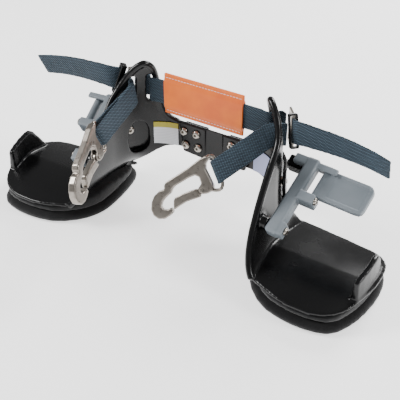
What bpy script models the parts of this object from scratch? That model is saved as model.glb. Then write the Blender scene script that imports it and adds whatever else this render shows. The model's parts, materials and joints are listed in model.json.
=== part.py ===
"""Head-and-neck restraint for a motor-sport driver, modelled as it comes apart on a bench.

Two moulded shells (collar wall, horn, shoulder plate and belt fin in one moulding) are screwed to a
rear bridge.  Foam pads sit under the shells, a webbing tether with a stitched sleeve runs between the
horns, two snap hooks hang on sewn straps, and a hinged latch arm stands on the outside of each wall.

Frame: +Z up, the opening of the collar towards -Y, the right-hand shell at +X.  Metres.
"""
import math

import bmesh
import bpy
from mathutils import Matrix, Vector

MM = 0.001
RIGHT = 1
LEFT = -1
SIDE_NAMES = {RIGHT: "right", LEFT: "left"}

# Clearances
TOUCH_GAP = 0.3 * MM
BORE_GAP = 0.3 * MM

# Collar wall, in plan: a straight side, a round corner and a straight back
WALL_HALF_WIDTH = 80 * MM
WALL_CORNER = 48 * MM
WALL_BACK_Y = 66 * MM
WALL_THICK = 4 * MM
FOOT_HALF_WIDTH = WALL_HALF_WIDTH + 13 * MM
FOOT_FALL = 14 * MM
HORN_LEAN = 9 * MM
HORN_LEAN_FROM = 100 * MM
HORN_TOP = 136 * MM
BEAD_RADIUS = 3.0 * MM
FLANGE_INNER_X = 10 * MM
FLANGE_LOW = 49 * MM
FLANGE_HIGH = 75 * MM

# Shoulder plate: a gentle ridge along X
PLATE_THICK = 3 * MM
RIDGE_Z = 28 * MM
RIDGE_Y = 5 * MM
RIDGE_SLOPE = 0.08
RIDGE_CURVE = 1.8
PLATE_OUTER_X = FOOT_HALF_WIDTH + 88 * MM
PLATE_FRONT_Y = -45 * MM

# Belt fin on the outer rim
FIN_FRONT_Y = -20 * MM
FIN_BACK_Y = 28 * MM
FIN_THICK = 4.5 * MM
FIN_RISE = 21 * MM

# Foam
FOAM_LOWER_THICK = 9.5 * MM
FOAM_MARGIN = 3.5 * MM
FASTENER_THICK = 1.0 * MM

# Rear bridge and its screws
BRIDGE_HALF = 37 * MM
BRIDGE_THICK = 3.4 * MM
BRIDGE_RELIEF = 1.6 * MM
SCREW_HEAD = 8 * MM
SCREW_SHANK = 4 * MM
SCREW_HEAD_RISE = 2.6 * MM
SOCKET_ACROSS = 3 * MM
NUT_PLATE_THICK = 2.5 * MM
BRIDGE_SCREWS = ((31 * MM, 69.5 * MM), (18 * MM, 70 * MM), (29 * MM, 56 * MM), (16 * MM, 56.5 * MM))

# Webbing
WEB_WIDTH = 23 * MM
WEB_THICK = 1.6 * MM
HOOK_WEB_WIDTH = 20 * MM
SLOT_WIDTH = 7 * MM
SLOT_SPARE = 2 * MM
HOOK_SLOT_ANGLE = math.radians(61)
TETHER_SLOT_ANGLE = math.radians(40)
SLOT_Z = 109 * MM
TETHER_Y = 49.5 * MM
KEEPER_LENGTH = 6 * MM
KEEPER_SLACK = 0.085 * WEB_WIDTH
KEEPER_WALL = 1.0 * MM
SLEEVE_LENGTH = 78 * MM
SLEEVE_HEIGHT = 38 * MM
SLEEVE_WALL = 1.6 * MM
SLEEVE_X = -4 * MM
SLEEVE_TRAVEL = 6 * MM
TAIL_END_X = WALL_HALF_WIDTH + 88 * MM

# Snap hooks
HOOK_LENGTH = 70 * MM
HOOK_THICK = 6.6 * MM
EYE_ROD = 3.4 * MM
GATE_WIDTH = 5.8 * MM
PIN_DIAMETER = 2.4 * MM

# Latch arms: X distances are along the arm's own hinge axis, true where the bar's pivot is
ARM_TILT = math.radians(30)
ARM_SPLAY = math.radians(6)
ARM_PIVOT_Y = -4.5 * MM
ARM_PIVOT_Z = 54.8 * MM
ARM_INNER_X = WALL_HALF_WIDTH + 10 * MM
ARM_WIDTH = 11.5 * MM
ARM_HEIGHT = 11 * MM
ARM_FRONT = 6.8 * MM
ARM_REACH = 65.7 * MM
ARM_BORE = 5 * MM
LUG_LENGTH = 9 * MM
LUG_INNER_X = ARM_INNER_X - 10.5 * MM
LUG_LOW = -1 * MM
PADDLE_FROM = 36 * MM
PADDLE_WIDTH = 27 * MM
PADDLE_LENGTH = 42 * MM
PADDLE_THICK = 6 * MM
PADDLE_LIFT = -3 * MM
HINGE_X = ARM_INNER_X + 20 * MM
PADDLE_NOTCH = 6 * MM
HINGE_PIN = 3 * MM
KNUCKLE = 7.5 * MM
LEFT_PADDLE_FOLD = math.radians(88)

BLACK_NYLON = ((0.012, 0.012, 0.014), 0.28, 0.0)
BLACK_STEEL = ((0.02, 0.02, 0.022), 0.4, 0.6)
FOAM_BLACK = ((0.015, 0.015, 0.016), 0.9, 0.0)
NAVY_WEB = ((0.025, 0.045, 0.065), 0.85, 0.0)
ORANGE_SLEEVE = ((0.87, 0.22, 0.03), 0.6, 0.0)
CAST_STEEL = ((0.42, 0.38, 0.34), 0.35, 1.0)
GREY_NYLON = ((0.16, 0.19, 0.22), 0.45, 0.0)
SCREW_STEEL = ((0.5, 0.45, 0.38), 0.3, 1.0)
LABEL_WHITE = ((0.75, 0.76, 0.8), 0.5, 0.0)


# ---------------------------------------------------------------- objects

def clear_scene():
    for ob in list(bpy.data.objects):
        bpy.data.objects.remove(ob, do_unlink=True)


def material_of(name, finish):
    colour, roughness, metallic = finish
    mat = bpy.data.materials.new(name + "_finish")
    mat.use_nodes = True
    shader = mat.node_tree.nodes["Principled BSDF"]
    shader.inputs["Base Color"].default_value = (*colour, 1.0)
    shader.inputs["Roughness"].default_value = roughness
    shader.inputs["Metallic"].default_value = metallic
    return mat


def empty(name, place, parent=None):
    ob = bpy.data.objects.new(name, None)
    bpy.context.collection.objects.link(ob)
    put(ob, place, parent)
    return ob


def stands_at(ob):
    """World place of an object whose parents are all unturned."""
    place = Vector(ob.location)
    while ob.parent:
        ob = ob.parent
        place = place + Vector(ob.location)
    return place


def put(ob, place, parent):
    ob.parent = parent
    ob.location = Vector(place) - (stands_at(parent) if parent else Vector())


def on_side(point, side):
    return Vector((point[0] * side, point[1], point[2]))


def add(name, bm, side, finish, parent, pivot=(0, 0, 0)):
    """Object for one side, from geometry drawn for the right-hand side, with its origin on pivot."""
    pivot = Vector(pivot)
    for vert in bm.verts:
        vert.co = on_side(vert.co - pivot, side)
    bm.normal_update()
    bmesh.ops.recalc_face_normals(bm, faces=bm.faces)
    mesh = bpy.data.meshes.new(name)
    bm.to_mesh(mesh)
    bm.free()
    mesh.shade_smooth()
    mesh.set_sharp_from_angle(angle=math.radians(35))
    ob = bpy.data.objects.new(name, mesh)
    bpy.context.collection.objects.link(ob)
    put(ob, on_side(pivot, side), parent)
    if finish:
        mesh.materials.append(material_of(name, finish))
    else:
        ob.hide_render = True
        ob.display_type = "WIRE"
    return ob


def boolean(ob, bm, side, operation, label):
    """Join to, or cut from, an object a hidden shape drawn for the right-hand side."""
    cutter = add(ob.name + "_" + label, bm, side, None, None)
    mod = ob.modifiers.new(label, "BOOLEAN")
    mod.operation = operation
    mod.solver = "EXACT"
    mod.object = cutter
    return mod


def join_to(ob, bm, side, label):
    return boolean(ob, bm, side, "UNION", label)


def cut_from(ob, bm, side, label):
    return boolean(ob, bm, side, "DIFFERENCE", label)


# ---------------------------------------------------------------- shapes

def smooth_run(points, count, closed=False):
    """Points along a Catmull-Rom curve through the given points of any length."""
    total = len(points)
    spans = total if closed else total - 1
    out = []
    for i in range(count):
        t = i * spans / (count if closed else count - 1)
        span = min(int(t), spans - 1)
        f = t - span
        picks = []
        for k in (-1, 0, 1, 2):
            j = span + k
            picks.append(points[j % total] if closed else points[min(max(j, 0), total - 1)])
        out.append(tuple(
            0.5 * (2 * b + (c - a) * f + (2 * a - 5 * b + 4 * c - d) * f * f
                   + (3 * b - a - 3 * c + d) * f ** 3)
            for a, b, c, d in zip(*picks)))
    return out


def skin(outer, inner):
    """Closed solid between two point grids of the same size."""
    bm = bmesh.new()
    rows, cols = len(outer), len(outer[0])
    top = [[bm.verts.new(p) for p in row] for row in outer]
    low = [[bm.verts.new(p) for p in row] for row in inner]
    for r in range(rows - 1):
        for c in range(cols - 1):
            bm.faces.new((top[r][c], top[r][c + 1], top[r + 1][c + 1], top[r + 1][c]))
            bm.faces.new((low[r][c], low[r + 1][c], low[r + 1][c + 1], low[r][c + 1]))
    rim = [(0, c) for c in range(cols)] + [(r, cols - 1) for r in range(1, rows)]
    rim += [(rows - 1, c) for c in range(cols - 2, -1, -1)] + [(r, 0) for r in range(rows - 2, 0, -1)]
    for (r0, c0), (r1, c1) in zip(rim, rim[1:] + rim[:1]):
        bm.faces.new((top[r0][c0], low[r0][c0], low[r1][c1], top[r1][c1]))
    return bm


def prism(outline, frame, low, high):
    """Outline in the frame's first two axes, raised along its third."""
    bm = bmesh.new()
    rings = [[bm.verts.new(frame @ Vector((a, b, h))) for a, b in outline] for h in (low, high)]
    bm.faces.new(rings[0][::-1])
    bm.faces.new(rings[1])
    for i in range(len(outline)):
        j = (i + 1) % len(outline)
        bm.faces.new((rings[0][i], rings[0][j], rings[1][j], rings[1][i]))
    return bm


def soften(bm, width, segments=1, least=math.radians(30)):
    """Bevel the edges of a solid that turn more than the given angle."""
    bm.normal_update()
    bmesh.ops.recalc_face_normals(bm, faces=bm.faces)
    edges = [e for e in bm.edges if len(e.link_faces) == 2 and e.calc_face_angle(0) > least]
    bmesh.ops.bevel(bm, geom=edges, offset=width, offset_type="OFFSET", segments=segments,
                    profile=0.5, affect="EDGES", clamp_overlap=True)
    return bm


def frame_of(origin, first, second):
    """Matrix from a flat drawing to space: its X along first, its Y towards second."""
    first = Vector(first).normalized()
    third = first.cross(Vector(second)).normalized()
    second = third.cross(first)
    turn = Matrix((first, second, third)).transposed().to_4x4()
    return Matrix.Translation(Vector(origin)) @ turn


def box(centre, size, turn=None):
    bm = bmesh.new()
    place = Matrix.Translation(Vector(centre)) @ (turn.to_4x4() if turn else Matrix())
    bmesh.ops.create_cube(bm, size=1.0, matrix=place @ Matrix.Diagonal((*size, 1.0)))
    return bm


def rod(start, end, radius, sides=16, end_radius=None):
    start, end = Vector(start), Vector(end)
    bm = bmesh.new()
    turn = (end - start).to_track_quat("Z", "Y").to_matrix().to_4x4()
    bmesh.ops.create_cone(bm, cap_ends=True, segments=sides, radius1=radius,
                          radius2=radius if end_radius is None else end_radius,
                          depth=(end - start).length,
                          matrix=Matrix.Translation((start + end) / 2) @ turn)
    return bm


def turned(start, direction, profile, sides=16):
    """Closed turned solid: profile holds (distance along, radius), its ends on the axis."""
    axis = Vector(direction).normalized()
    place = Matrix.Translation(Vector(start)) @ axis.to_track_quat("Z", "Y").to_matrix().to_4x4()
    bm = bmesh.new()
    rings = []
    for along, radius in profile:
        if radius == 0:
            rings.append([bm.verts.new(place @ Vector((0, 0, along)))])
            continue
        rings.append([bm.verts.new(place @ Vector((radius * math.cos(k * math.tau / sides),
                                                   radius * math.sin(k * math.tau / sides), along)))
                      for k in range(sides)])
    for low, high in zip(rings, rings[1:]):
        for k in range(sides):
            m = (k + 1) % sides
            quad = [low[k % len(low)], low[m % len(low)], high[m % len(high)], high[k % len(high)]]
            bm.faces.new(list(dict.fromkeys(quad)))
    return bm


def tube(path, radius, sides=8):
    """Closed round bar swept along a path."""
    bm = bmesh.new()
    rings = []
    up = Vector((0, 0, 1))
    for i, point in enumerate(path):
        ahead = Vector(path[min(i + 1, len(path) - 1)]) - Vector(path[max(i - 1, 0)])
        ahead.normalize()
        side = ahead.cross(up)
        side = side.normalized() if side.length > 0.2 else ahead.cross(Vector((1, 0, 0))).normalized()
        if rings and side.dot(last) < 0:
            side = -side
        last = side
        across = ahead.cross(side)
        rings.append([bm.verts.new(Vector(point) + radius * (math.cos(k * math.tau / sides) * side
                                                            + math.sin(k * math.tau / sides) * across))
                      for k in range(sides)])
    for low, high in zip(rings, rings[1:]):
        for k in range(sides):
            m = (k + 1) % sides
            bm.faces.new((low[k], low[m], high[m], high[k]))
    bm.faces.new(rings[0][::-1])
    bm.faces.new(rings[-1])
    return bm


def strap(path, across, width, thick):
    """Flat webbing along a path; across gives the direction of its width at each point."""
    outer, inner = [], []
    for i, point in enumerate(path):
        point = Vector(point)
        ahead = Vector(path[min(i + 1, len(path) - 1)]) - Vector(path[max(i - 1, 0)])
        wide = Vector(across[i])
        wide.normalize()
        out = wide.cross(ahead).normalized() * thick / 2
        half = wide * width / 2
        outer.append([point - half + out, point + half + out])
        inner.append([point - half - out, point + half - out])
    return skin(outer, inner)


# ---------------------------------------------------------------- collar wall

CORNER_FROM = WALL_HALF_WIDTH - WALL_CORNER
CORNER_Y = WALL_BACK_Y - WALL_CORNER
CORNER_END = CORNER_FROM + WALL_CORNER * math.pi / 2


def station_at_angle(angle):
    return CORNER_FROM + WALL_CORNER * angle


def station_at_y(y):
    return CORNER_END + CORNER_Y - y


def plan(station):
    """Point and outward direction on the wall's middle line, station measured from the back's centre."""
    if station <= CORNER_FROM:
        return Vector((station, WALL_BACK_Y)), Vector((0, 1))
    if station < CORNER_END:
        angle = (station - CORNER_FROM) / WALL_CORNER
        out = Vector((math.sin(angle), math.cos(angle)))
        return Vector((CORNER_FROM, CORNER_Y)) + WALL_CORNER * out, out
    return Vector((WALL_HALF_WIDTH, CORNER_Y + CORNER_END - station)), Vector((1, 0))


def foot_spread(station):
    """How far the foot of the wall stands outside its middle line."""
    angle = min(max(0.0, station - CORNER_FROM) / WALL_CORNER, math.pi / 2)
    square = 6
    side_reach = FOOT_HALF_WIDTH - CORNER_FROM
    reach = ((math.sin(angle) / side_reach) ** square + (math.cos(angle) / WALL_CORNER) ** square)
    return reach ** (-1 / square) - WALL_CORNER


def wall_point(station, z, outward=0.0):
    middle, out = plan(station)
    spread = foot_spread(station) * math.exp(-(z - RIDGE_Z + 8 * MM) / FOOT_FALL)
    lean = HORN_LEAN * (max(0.0, z - HORN_LEAN_FROM) / (HORN_TOP - HORN_LEAN_FROM)) ** 2
    place = middle + out * (spread - lean + outward)
    return Vector((place.x, place.y, z))


def plate_top(y):
    away = abs(y - RIDGE_Y)
    return RIDGE_Z - RIDGE_SLOPE * away - RIDGE_CURVE * away * away


def wall_profile():
    """(station, lower edge, upper edge) from the front foot round to the flange."""
    def on_plate(y):
        return plate_top(y) - PLATE_THICK / 2

    def corner(degrees, low, high):
        return (station_at_angle(math.radians(degrees)), low, high)

    horn = HORN_TOP
    marks = [(station_at_y(y), on_plate(y), high) for y, high in (
        (-35 * MM, 22 * MM), (-31 * MM, 29 * MM), (-12 * MM, 60 * MM), (6 * MM, 88.5 * MM))]
    marks += [
        corner(90, on_plate(18 * MM), horn - 32 * MM),
        corner(80, on_plate(26 * MM), horn - 24 * MM),
        corner(71, on_plate(34 * MM), horn - 15 * MM),
        corner(63, on_plate(48 * MM), horn - 7 * MM),
        corner(55, 22 * MM, horn - 2 * MM),
        corner(47, 31 * MM, horn),
        corner(39, 38 * MM, horn - 4 * MM),
        corner(35, 41 * MM, horn - 11 * MM),
        corner(32, 42.5 * MM, horn - 26 * MM),
        corner(29.5, 44 * MM, horn - 41 * MM),
        corner(25, 46 * MM, 83 * MM),
        corner(17, 48 * MM, FLANGE_HIGH + 2 * MM),
        corner(6, FLANGE_LOW, FLANGE_HIGH),
        (FLANGE_INNER_X, FLANGE_LOW, FLANGE_HIGH)]
    return marks


def wall_grid(profile, outward, rows):
    return [[wall_point(s, low + (high - low) * r / (rows - 1), outward) for s, low, high in profile]
            for r in range(rows)]


def wall_patch(station0, station1, z0, z1, inner, outer, columns=8, rows=5):
    """Closed piece that follows the wall between two offsets from its middle."""
    def grid(outward):
        return [[wall_point(station0 + (station1 - station0) * c / (columns - 1),
                            z0 + (z1 - z0) * r / (rows - 1), outward) for c in range(columns)]
                for r in range(rows)]
    return skin(grid(outer), grid(inner))


def plate_outline():
    x_out, y_front = PLATE_OUTER_X, PLATE_FRONT_Y
    inner = FOOT_HALF_WIDTH
    return [(inner - 4 * MM, -30 * MM), (inner - 3 * MM, -33.5 * MM), (inner + 12 * MM, y_front + 6 * MM),
            (inner + 28 * MM, y_front + 1.5 * MM), (inner + 48 * MM, y_front), (x_out - 22 * MM, y_front + 5 * MM),
            (x_out - 10 * MM, y_front + 16 * MM), (x_out - 4 * MM, -14 * MM), (x_out, 3 * MM),
            (x_out - 0.5 * MM, 20 * MM), (x_out - 4 * MM, 35 * MM), (x_out - 14 * MM, 46 * MM),
            (x_out - 34 * MM, 51 * MM), (x_out - 70 * MM, 57 * MM), (inner - 4 * MM, 60 * MM),
            (inner - 9 * MM, 58 * MM), (inner - 5 * MM, 48 * MM), (inner - 3 * MM, 25 * MM),
            (inner - 3 * MM, 0)]


def ridge_slab(top_shift, low_shift, low_flat=None, high_flat=None):
    """Block whose faces follow the shoulder ridge, shifted from the plate's upper face."""
    y0, y1, steps = -75 * MM, 100 * MM, 10
    ys = [y0 + (RIDGE_Y - y0) * k / steps for k in range(steps)]
    ys += [RIDGE_Y + (y1 - RIDGE_Y) * k / steps for k in range(steps + 1)]
    xs = (40 * MM, 230 * MM)

    def face(shift, flat):
        return [[Vector((x, y, plate_top(y) + shift if flat is None else flat)) for y in ys] for x in xs]
    return skin(face(top_shift, high_flat), face(low_shift, low_flat))


def fin_grid(outward):
    heights = ((FIN_FRONT_Y, 0.86), (-19 * MM, 0.93), (-12 * MM, 0.98), (-3 * MM, 1.03), (6 * MM, 1.1),
               (11 * MM, 1.12), (15 * MM, 1.0), (18 * MM, 0.8), (23 * MM, 0.5), (FIN_BACK_Y, 0.16))
    rows = 5
    grid = []
    for r in range(rows):
        f = r / (rows - 1)
        row = []
        for y, share in heights:
            bow = 3.5 * MM * (1 - ((y - 7 * MM) / (27 * MM)) ** 2)
            foot = 1.5 * MM * (1 - f) ** 2 * (1 if outward > 0 else -1)
            x = PLATE_OUTER_X - 9.5 * MM + bow + outward + foot
            low = plate_top(y) - PLATE_THICK / 2
            row.append(Vector((x, y, low + (FIN_RISE * share) * f)))
        grid.append(row)
    return grid


def oval(centre, half_a, half_b, count=24, power=2.4):
    pts = []
    for k in range(count):
        t = k * math.tau / count
        c, s = math.cos(t), math.sin(t)
        pts.append((centre[0] + math.copysign(abs(c) ** (2 / power), c) * half_a,
                    centre[1] + math.copysign(abs(s) ** (2 / power), s) * half_b))
    return pts


OVAL_ANGLE = math.radians(55)
OVAL_Z = 57 * MM
OVAL_HALF = (10 * MM, 18 * MM)


def wall_frame(angle, z, outward=0.0):
    """Drawing frame on the wall: first axis level along the wall, second up, third outward."""
    station = station_at_angle(angle)
    out = plan(station)[1]
    forward = Vector((out.y, -out.x, 0))
    return frame_of(wall_point(station, z, outward), forward, (0, 0, 1))


def slot_cutter(angle):
    frame = wall_frame(angle, SLOT_Z)
    half_w, half_h = SLOT_WIDTH / 2, WEB_WIDTH / 2 + SLOT_SPARE
    return prism(oval((0, 0), half_w, half_h, 20, 5), frame, -12 * MM, 12 * MM)


def arm_axes():
    """Hinge axis, bar direction and upward direction of the latch arm at rest."""
    axis = Vector((math.cos(ARM_SPLAY), -math.sin(ARM_SPLAY), 0))
    level = Vector((math.sin(ARM_SPLAY), math.cos(ARM_SPLAY), 0))
    along = level * math.cos(ARM_TILT) + Vector((0, 0, math.sin(ARM_TILT)))
    return axis, along, axis.cross(along)


def pivot_point(x, along=0.0, lift=0.0):
    """Point in the latch arm's own frame: along the bar from its pivot, and above its middle."""
    axis, ahead, up = arm_axes()
    pivot = Vector((ARM_INNER_X, ARM_PIVOT_Y, ARM_PIVOT_Z))
    return pivot + axis * (x - ARM_INNER_X) + ahead * along + up * lift


def build_shell(side, root):
    name = SIDE_NAMES[side] + "_shell"
    profile = smooth_run(wall_profile(), 30)
    rows = 9
    wall = skin(wall_grid(profile, WALL_THICK / 2, rows), wall_grid(profile, -WALL_THICK / 2, rows))
    shell = add(name, wall, side, BLACK_NYLON, root)
    plate = prism(smooth_run(plate_outline(), 44, closed=True), Matrix(), 0, 60 * MM)
    plate_piece = add(name + "_plate", plate, side, None, None)
    mod = plate_piece.modifiers.new("ridge", "BOOLEAN")
    mod.operation = "INTERSECT"
    mod.solver = "EXACT"
    mod.object = add(name + "_ridge", ridge_slab(0, -PLATE_THICK), side, None, None)
    mod = shell.modifiers.new("plate", "BOOLEAN")
    mod.operation = "UNION"
    mod.solver = "EXACT"
    mod.object = plate_piece
    join_to(shell, skin(fin_grid(FIN_THICK / 2), fin_grid(-FIN_THICK / 2)), side, "fin")
    bead_end = station_at_angle(math.asin((BRIDGE_HALF + 3 * MM - CORNER_FROM) / WALL_CORNER))
    edge = [wall_point(s, high - BEAD_RADIUS * 0.4) for s, low, high in profile if s > bead_end]
    edge[0] = wall_point(profile[0][0], plate_top(-35 * MM) - PLATE_THICK / 2)
    join_to(shell, tube(edge, BEAD_RADIUS, 6), side, "bead")
    foot = WALL_HALF_WIDTH + 1 * MM
    join_to(shell, rod(pivot_point(foot), pivot_point(ARM_INNER_X - TOUCH_GAP), 6.5 * MM, 20, 5.5 * MM),
            side, "pivot_boss")
    cut_from(shell, rod(pivot_point(foot - 8 * MM), pivot_point(ARM_INNER_X + 2 * MM),
                        ARM_BORE / 2 + BORE_GAP, 16), side, "pivot_bore")
    cut_from(shell, slot_cutter(HOOK_SLOT_ANGLE), side, "hook_slot")
    cut_from(shell, slot_cutter(TETHER_SLOT_ANGLE), side, "tether_slot")
    cut_from(shell, prism(oval((0, 0), *OVAL_HALF), wall_frame(OVAL_ANGLE, OVAL_Z), -9 * MM, 9 * MM),
             side, "oval")
    for k, (x, z) in enumerate(BRIDGE_SCREWS):
        cut_from(shell, rod((x, WALL_BACK_Y - 9 * MM, z), (x, WALL_BACK_Y + 9 * MM, z),
                            SCREW_SHANK / 2 + BORE_GAP, 12), side, "bore%d" % k)
    return shell


# ---------------------------------------------------------------- foam

def foam_outline(grow):
    """Foam pad's outline at its foot, grown outward from its middle by the given width."""
    marks = [(-13, -12), (-4, -27), (14, -41), (37, -46), (57, -45), (72, -39), (81, -22), (85.5, -2),
             (86.5, 19), (83.5, 36), (75, 49), (57, 56), (32, 60), (11, 63.5), (-1, 62), (-9, 54),
             (-13, 38), (-15.5, 18), (-16, 2)]
    middle = Vector((FOOT_HALF_WIDTH + 37 * MM, 9 * MM))
    out = []
    for x, y in smooth_run([(FOOT_HALF_WIDTH + x * MM, y * MM) for x, y in marks], 36, closed=True):
        ray = Vector((x, y)) - middle
        place = middle + ray * (1 + grow / ray.length)
        out.append((place.x, place.y))
    return out


def build_foam(side, root):
    name = SIDE_NAMES[side]
    lower = prism(foam_outline(0), Matrix(), 0, FOAM_LOWER_THICK)
    soften(lower, 2.5 * MM, 1, math.radians(60))
    add(name + "_foam_lower", lower, side, FOAM_BLACK, root)
    upper = prism(foam_outline(-FOAM_MARGIN), Matrix(), FOAM_LOWER_THICK + TOUCH_GAP, 60 * MM)
    pad = add(name + "_foam_upper", upper, side, FOAM_BLACK, root)
    drop = PLATE_THICK + FASTENER_THICK + 2 * TOUCH_GAP
    cut_from(pad, ridge_slab(0, -drop, high_flat=90 * MM), side, "ridge")


def build_fastener(side, root):
    """Hook-and-loop sheet between the foam and the plate."""
    marks = [(104, -24), (165, -24), (168, 34), (104, 44)]
    sheet = prism([(x * MM, y * MM) for x, y in marks], Matrix(), 0, 60 * MM)
    patch = add(SIDE_NAMES[side] + "_pad_fastener", sheet, side, FOAM_BLACK, root)
    mod = patch.modifiers.new("ridge", "BOOLEAN")
    mod.operation = "INTERSECT"
    mod.solver = "EXACT"
    low = -PLATE_THICK - TOUCH_GAP
    mod.object = add(patch.name + "_ridge", ridge_slab(low, low - FASTENER_THICK), side, None, None)


# ---------------------------------------------------------------- rear bridge

BRIDGE_BACK_Y = WALL_BACK_Y - WALL_THICK / 2 - TOUCH_GAP - 0.4 * MM
BRIDGE_FRONT_Y = BRIDGE_BACK_Y - BRIDGE_THICK


def build_bridge(root):
    low, high = FLANGE_LOW - 1 * MM, FLANGE_HIGH + 2.5 * MM
    slant = 5 * MM
    half = [(BRIDGE_HALF, high), (BRIDGE_HALF - slant, low), (8 * MM, low - 2 * MM)]
    outline = half + [(-x, z) for x, z in half[::-1]]
    facing = frame_of((0, BRIDGE_BACK_Y, 0), (1, 0, 0), (0, 0, 1))
    body = soften(prism(outline, facing, 0, BRIDGE_THICK), 0.5 * MM)
    bridge = add("rear_bridge", body, RIGHT, BLACK_NYLON, root)
    cut_from(bridge, box((0, BRIDGE_FRONT_Y, (low + high) / 2), (18 * MM, 2 * BRIDGE_RELIEF, 60 * MM)),
             RIGHT, "relief")
    for side in (RIGHT, LEFT):
        for k, (x, z) in enumerate(BRIDGE_SCREWS):
            cut_from(bridge, rod((x, BRIDGE_FRONT_Y - 4 * MM, z), (x, BRIDGE_BACK_Y + 4 * MM, z),
                                 SCREW_SHANK / 2 + BORE_GAP, 12), side, "bore%d_%d" % (side, k))
    return bridge


def button_screw(seat, direction, length, head=SCREW_HEAD, shank=SCREW_SHANK, rise=SCREW_HEAD_RISE):
    """Button-head screw: direction points from the head down the shank; its head rests on seat."""
    socket = SOCKET_ACROSS / 2
    profile = [(-rise + 1.4 * MM, 0), (-rise + 1.4 * MM, socket), (-rise, socket),
               (-rise * 0.86, head * 0.33), (-rise * 0.5, head * 0.455), (-0.3 * MM, head / 2),
               (0, head / 2), (0, shank / 2), (length, shank / 2), (length, 0)]
    return turned(seat, direction, profile, 10)


def build_bridge_screws(side, root):
    name = SIDE_NAMES[side]
    seat_y = BRIDGE_FRONT_Y - TOUCH_GAP
    plate_low = WALL_BACK_Y + WALL_THICK / 2 + TOUCH_GAP
    end = plate_low + NUT_PLATE_THICK + 0.5 * MM
    for k, (x, z) in enumerate(BRIDGE_SCREWS):
        screw = button_screw((x, seat_y, z), (0, 1, 0), end - seat_y)
        add(name + "_bridge_screw_" + str(k + 1), screw, side, SCREW_STEEL, root)
    xs = [x for x, z in BRIDGE_SCREWS]
    zs = [z for x, z in BRIDGE_SCREWS]
    margin = 4.5 * MM
    outline = [(min(xs) - margin, min(zs) - margin), (31.5 * MM, min(zs) - margin),
               (31.5 * MM, max(zs) + margin - 1 * MM), (min(xs) - margin, max(zs) + margin - 1 * MM)]
    outline = [(x if x < 31 * MM else max(xs) + 3.5 * MM, z) for x, z in outline]
    facing = frame_of((0, plate_low + NUT_PLATE_THICK, 0), (1, 0, 0), (0, 0, 1))
    nut = add(name + "_nut_plate", prism(outline, facing, 0, NUT_PLATE_THICK), side, BLACK_STEEL, root)
    for k, (x, z) in enumerate(BRIDGE_SCREWS):
        cut_from(nut, rod((x, plate_low - 3 * MM, z), (x, end + 3 * MM, z),
                          SCREW_SHANK / 2 + BORE_GAP, 12), side, "bore%d" % k)


# ---------------------------------------------------------------- webbing

def slot_point(angle, outward, z=SLOT_Z):
    return wall_point(station_at_angle(angle), z, outward)


def tether_run():
    """Middle line of the tether from the left buckle to the right one."""
    right = [(SLEEVE_LENGTH / 2 + abs(SLEEVE_X) + SLEEVE_TRAVEL + 1 * MM, TETHER_Y, SLOT_Z + 1 * MM),
             slot_point(TETHER_SLOT_ANGLE, -6 * MM), slot_point(TETHER_SLOT_ANGLE, 0),
             slot_point(TETHER_SLOT_ANGLE, 4.5 * MM), slot_point(TETHER_SLOT_ANGLE + 0.1, 6.2 * MM)]
    right = [Vector(p) for p in right]
    return [on_side(p, LEFT) for p in right[::-1]] + right


def build_tether(root):
    path = tether_run()
    middle = len(path) // 2
    fine = smooth_run([tuple(p) for p in path[:middle]], 12)
    fine += smooth_run([tuple(p) for p in path[middle:]], 12)
    add("tether_web", strap(fine, [(0, 0, 1)] * len(fine), WEB_WIDTH, WEB_THICK), RIGHT, NAVY_WEB, root)


def build_sleeve(root):
    """Stitched sleeve round the tether; it slides along the webbing."""
    centre = Vector((SLEEVE_X, TETHER_Y, SLOT_Z + 1 * MM))
    depth = WEB_THICK + 2 * TOUCH_GAP + 2 * SLEEVE_WALL
    body = soften(box(centre, (SLEEVE_LENGTH, depth, SLEEVE_HEIGHT)), 0.9 * MM)
    sleeve = add("sleeve", body, RIGHT, ORANGE_SLEEVE, root, pivot=centre)
    channel = (SLEEVE_LENGTH + 10 * MM, WEB_THICK + 2 * TOUCH_GAP, WEB_WIDTH + 2 * TOUCH_GAP)
    cut_from(sleeve, box(centre, channel), RIGHT, "channel")


def tail_run():
    """Middle line of a free end: round the front of the horn, then out over the shoulder."""
    start = slot_point(HOOK_SLOT_ANGLE + math.radians(3), WALL_THICK / 2 + 7.5 * MM, SLOT_Z + 6 * MM)
    turn_x = WALL_HALF_WIDTH + 9 * MM
    reach = TAIL_END_X - turn_x
    bends = ((0, 35.5, 9.5), (0.14, 34, 10.5), (0.47, 36, 8.5), (0.77, 36, 5.5), (1, 34, 2.5))
    return [start] + [Vector((turn_x + reach * share, y * MM, SLOT_Z + rise * MM)) for share, y, rise in bends]


def build_tail(side, root):
    path = smooth_run([tuple(p) for p in tail_run()], 14)
    lean = 0.45
    across = [(0.15 * lean * k / 13, -lean * k / 13, 1) for k in range(14)]
    add(SIDE_NAMES[side] + "_tail", strap(path, across, WEB_WIDTH, WEB_THICK), side, NAVY_WEB, root)


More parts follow.
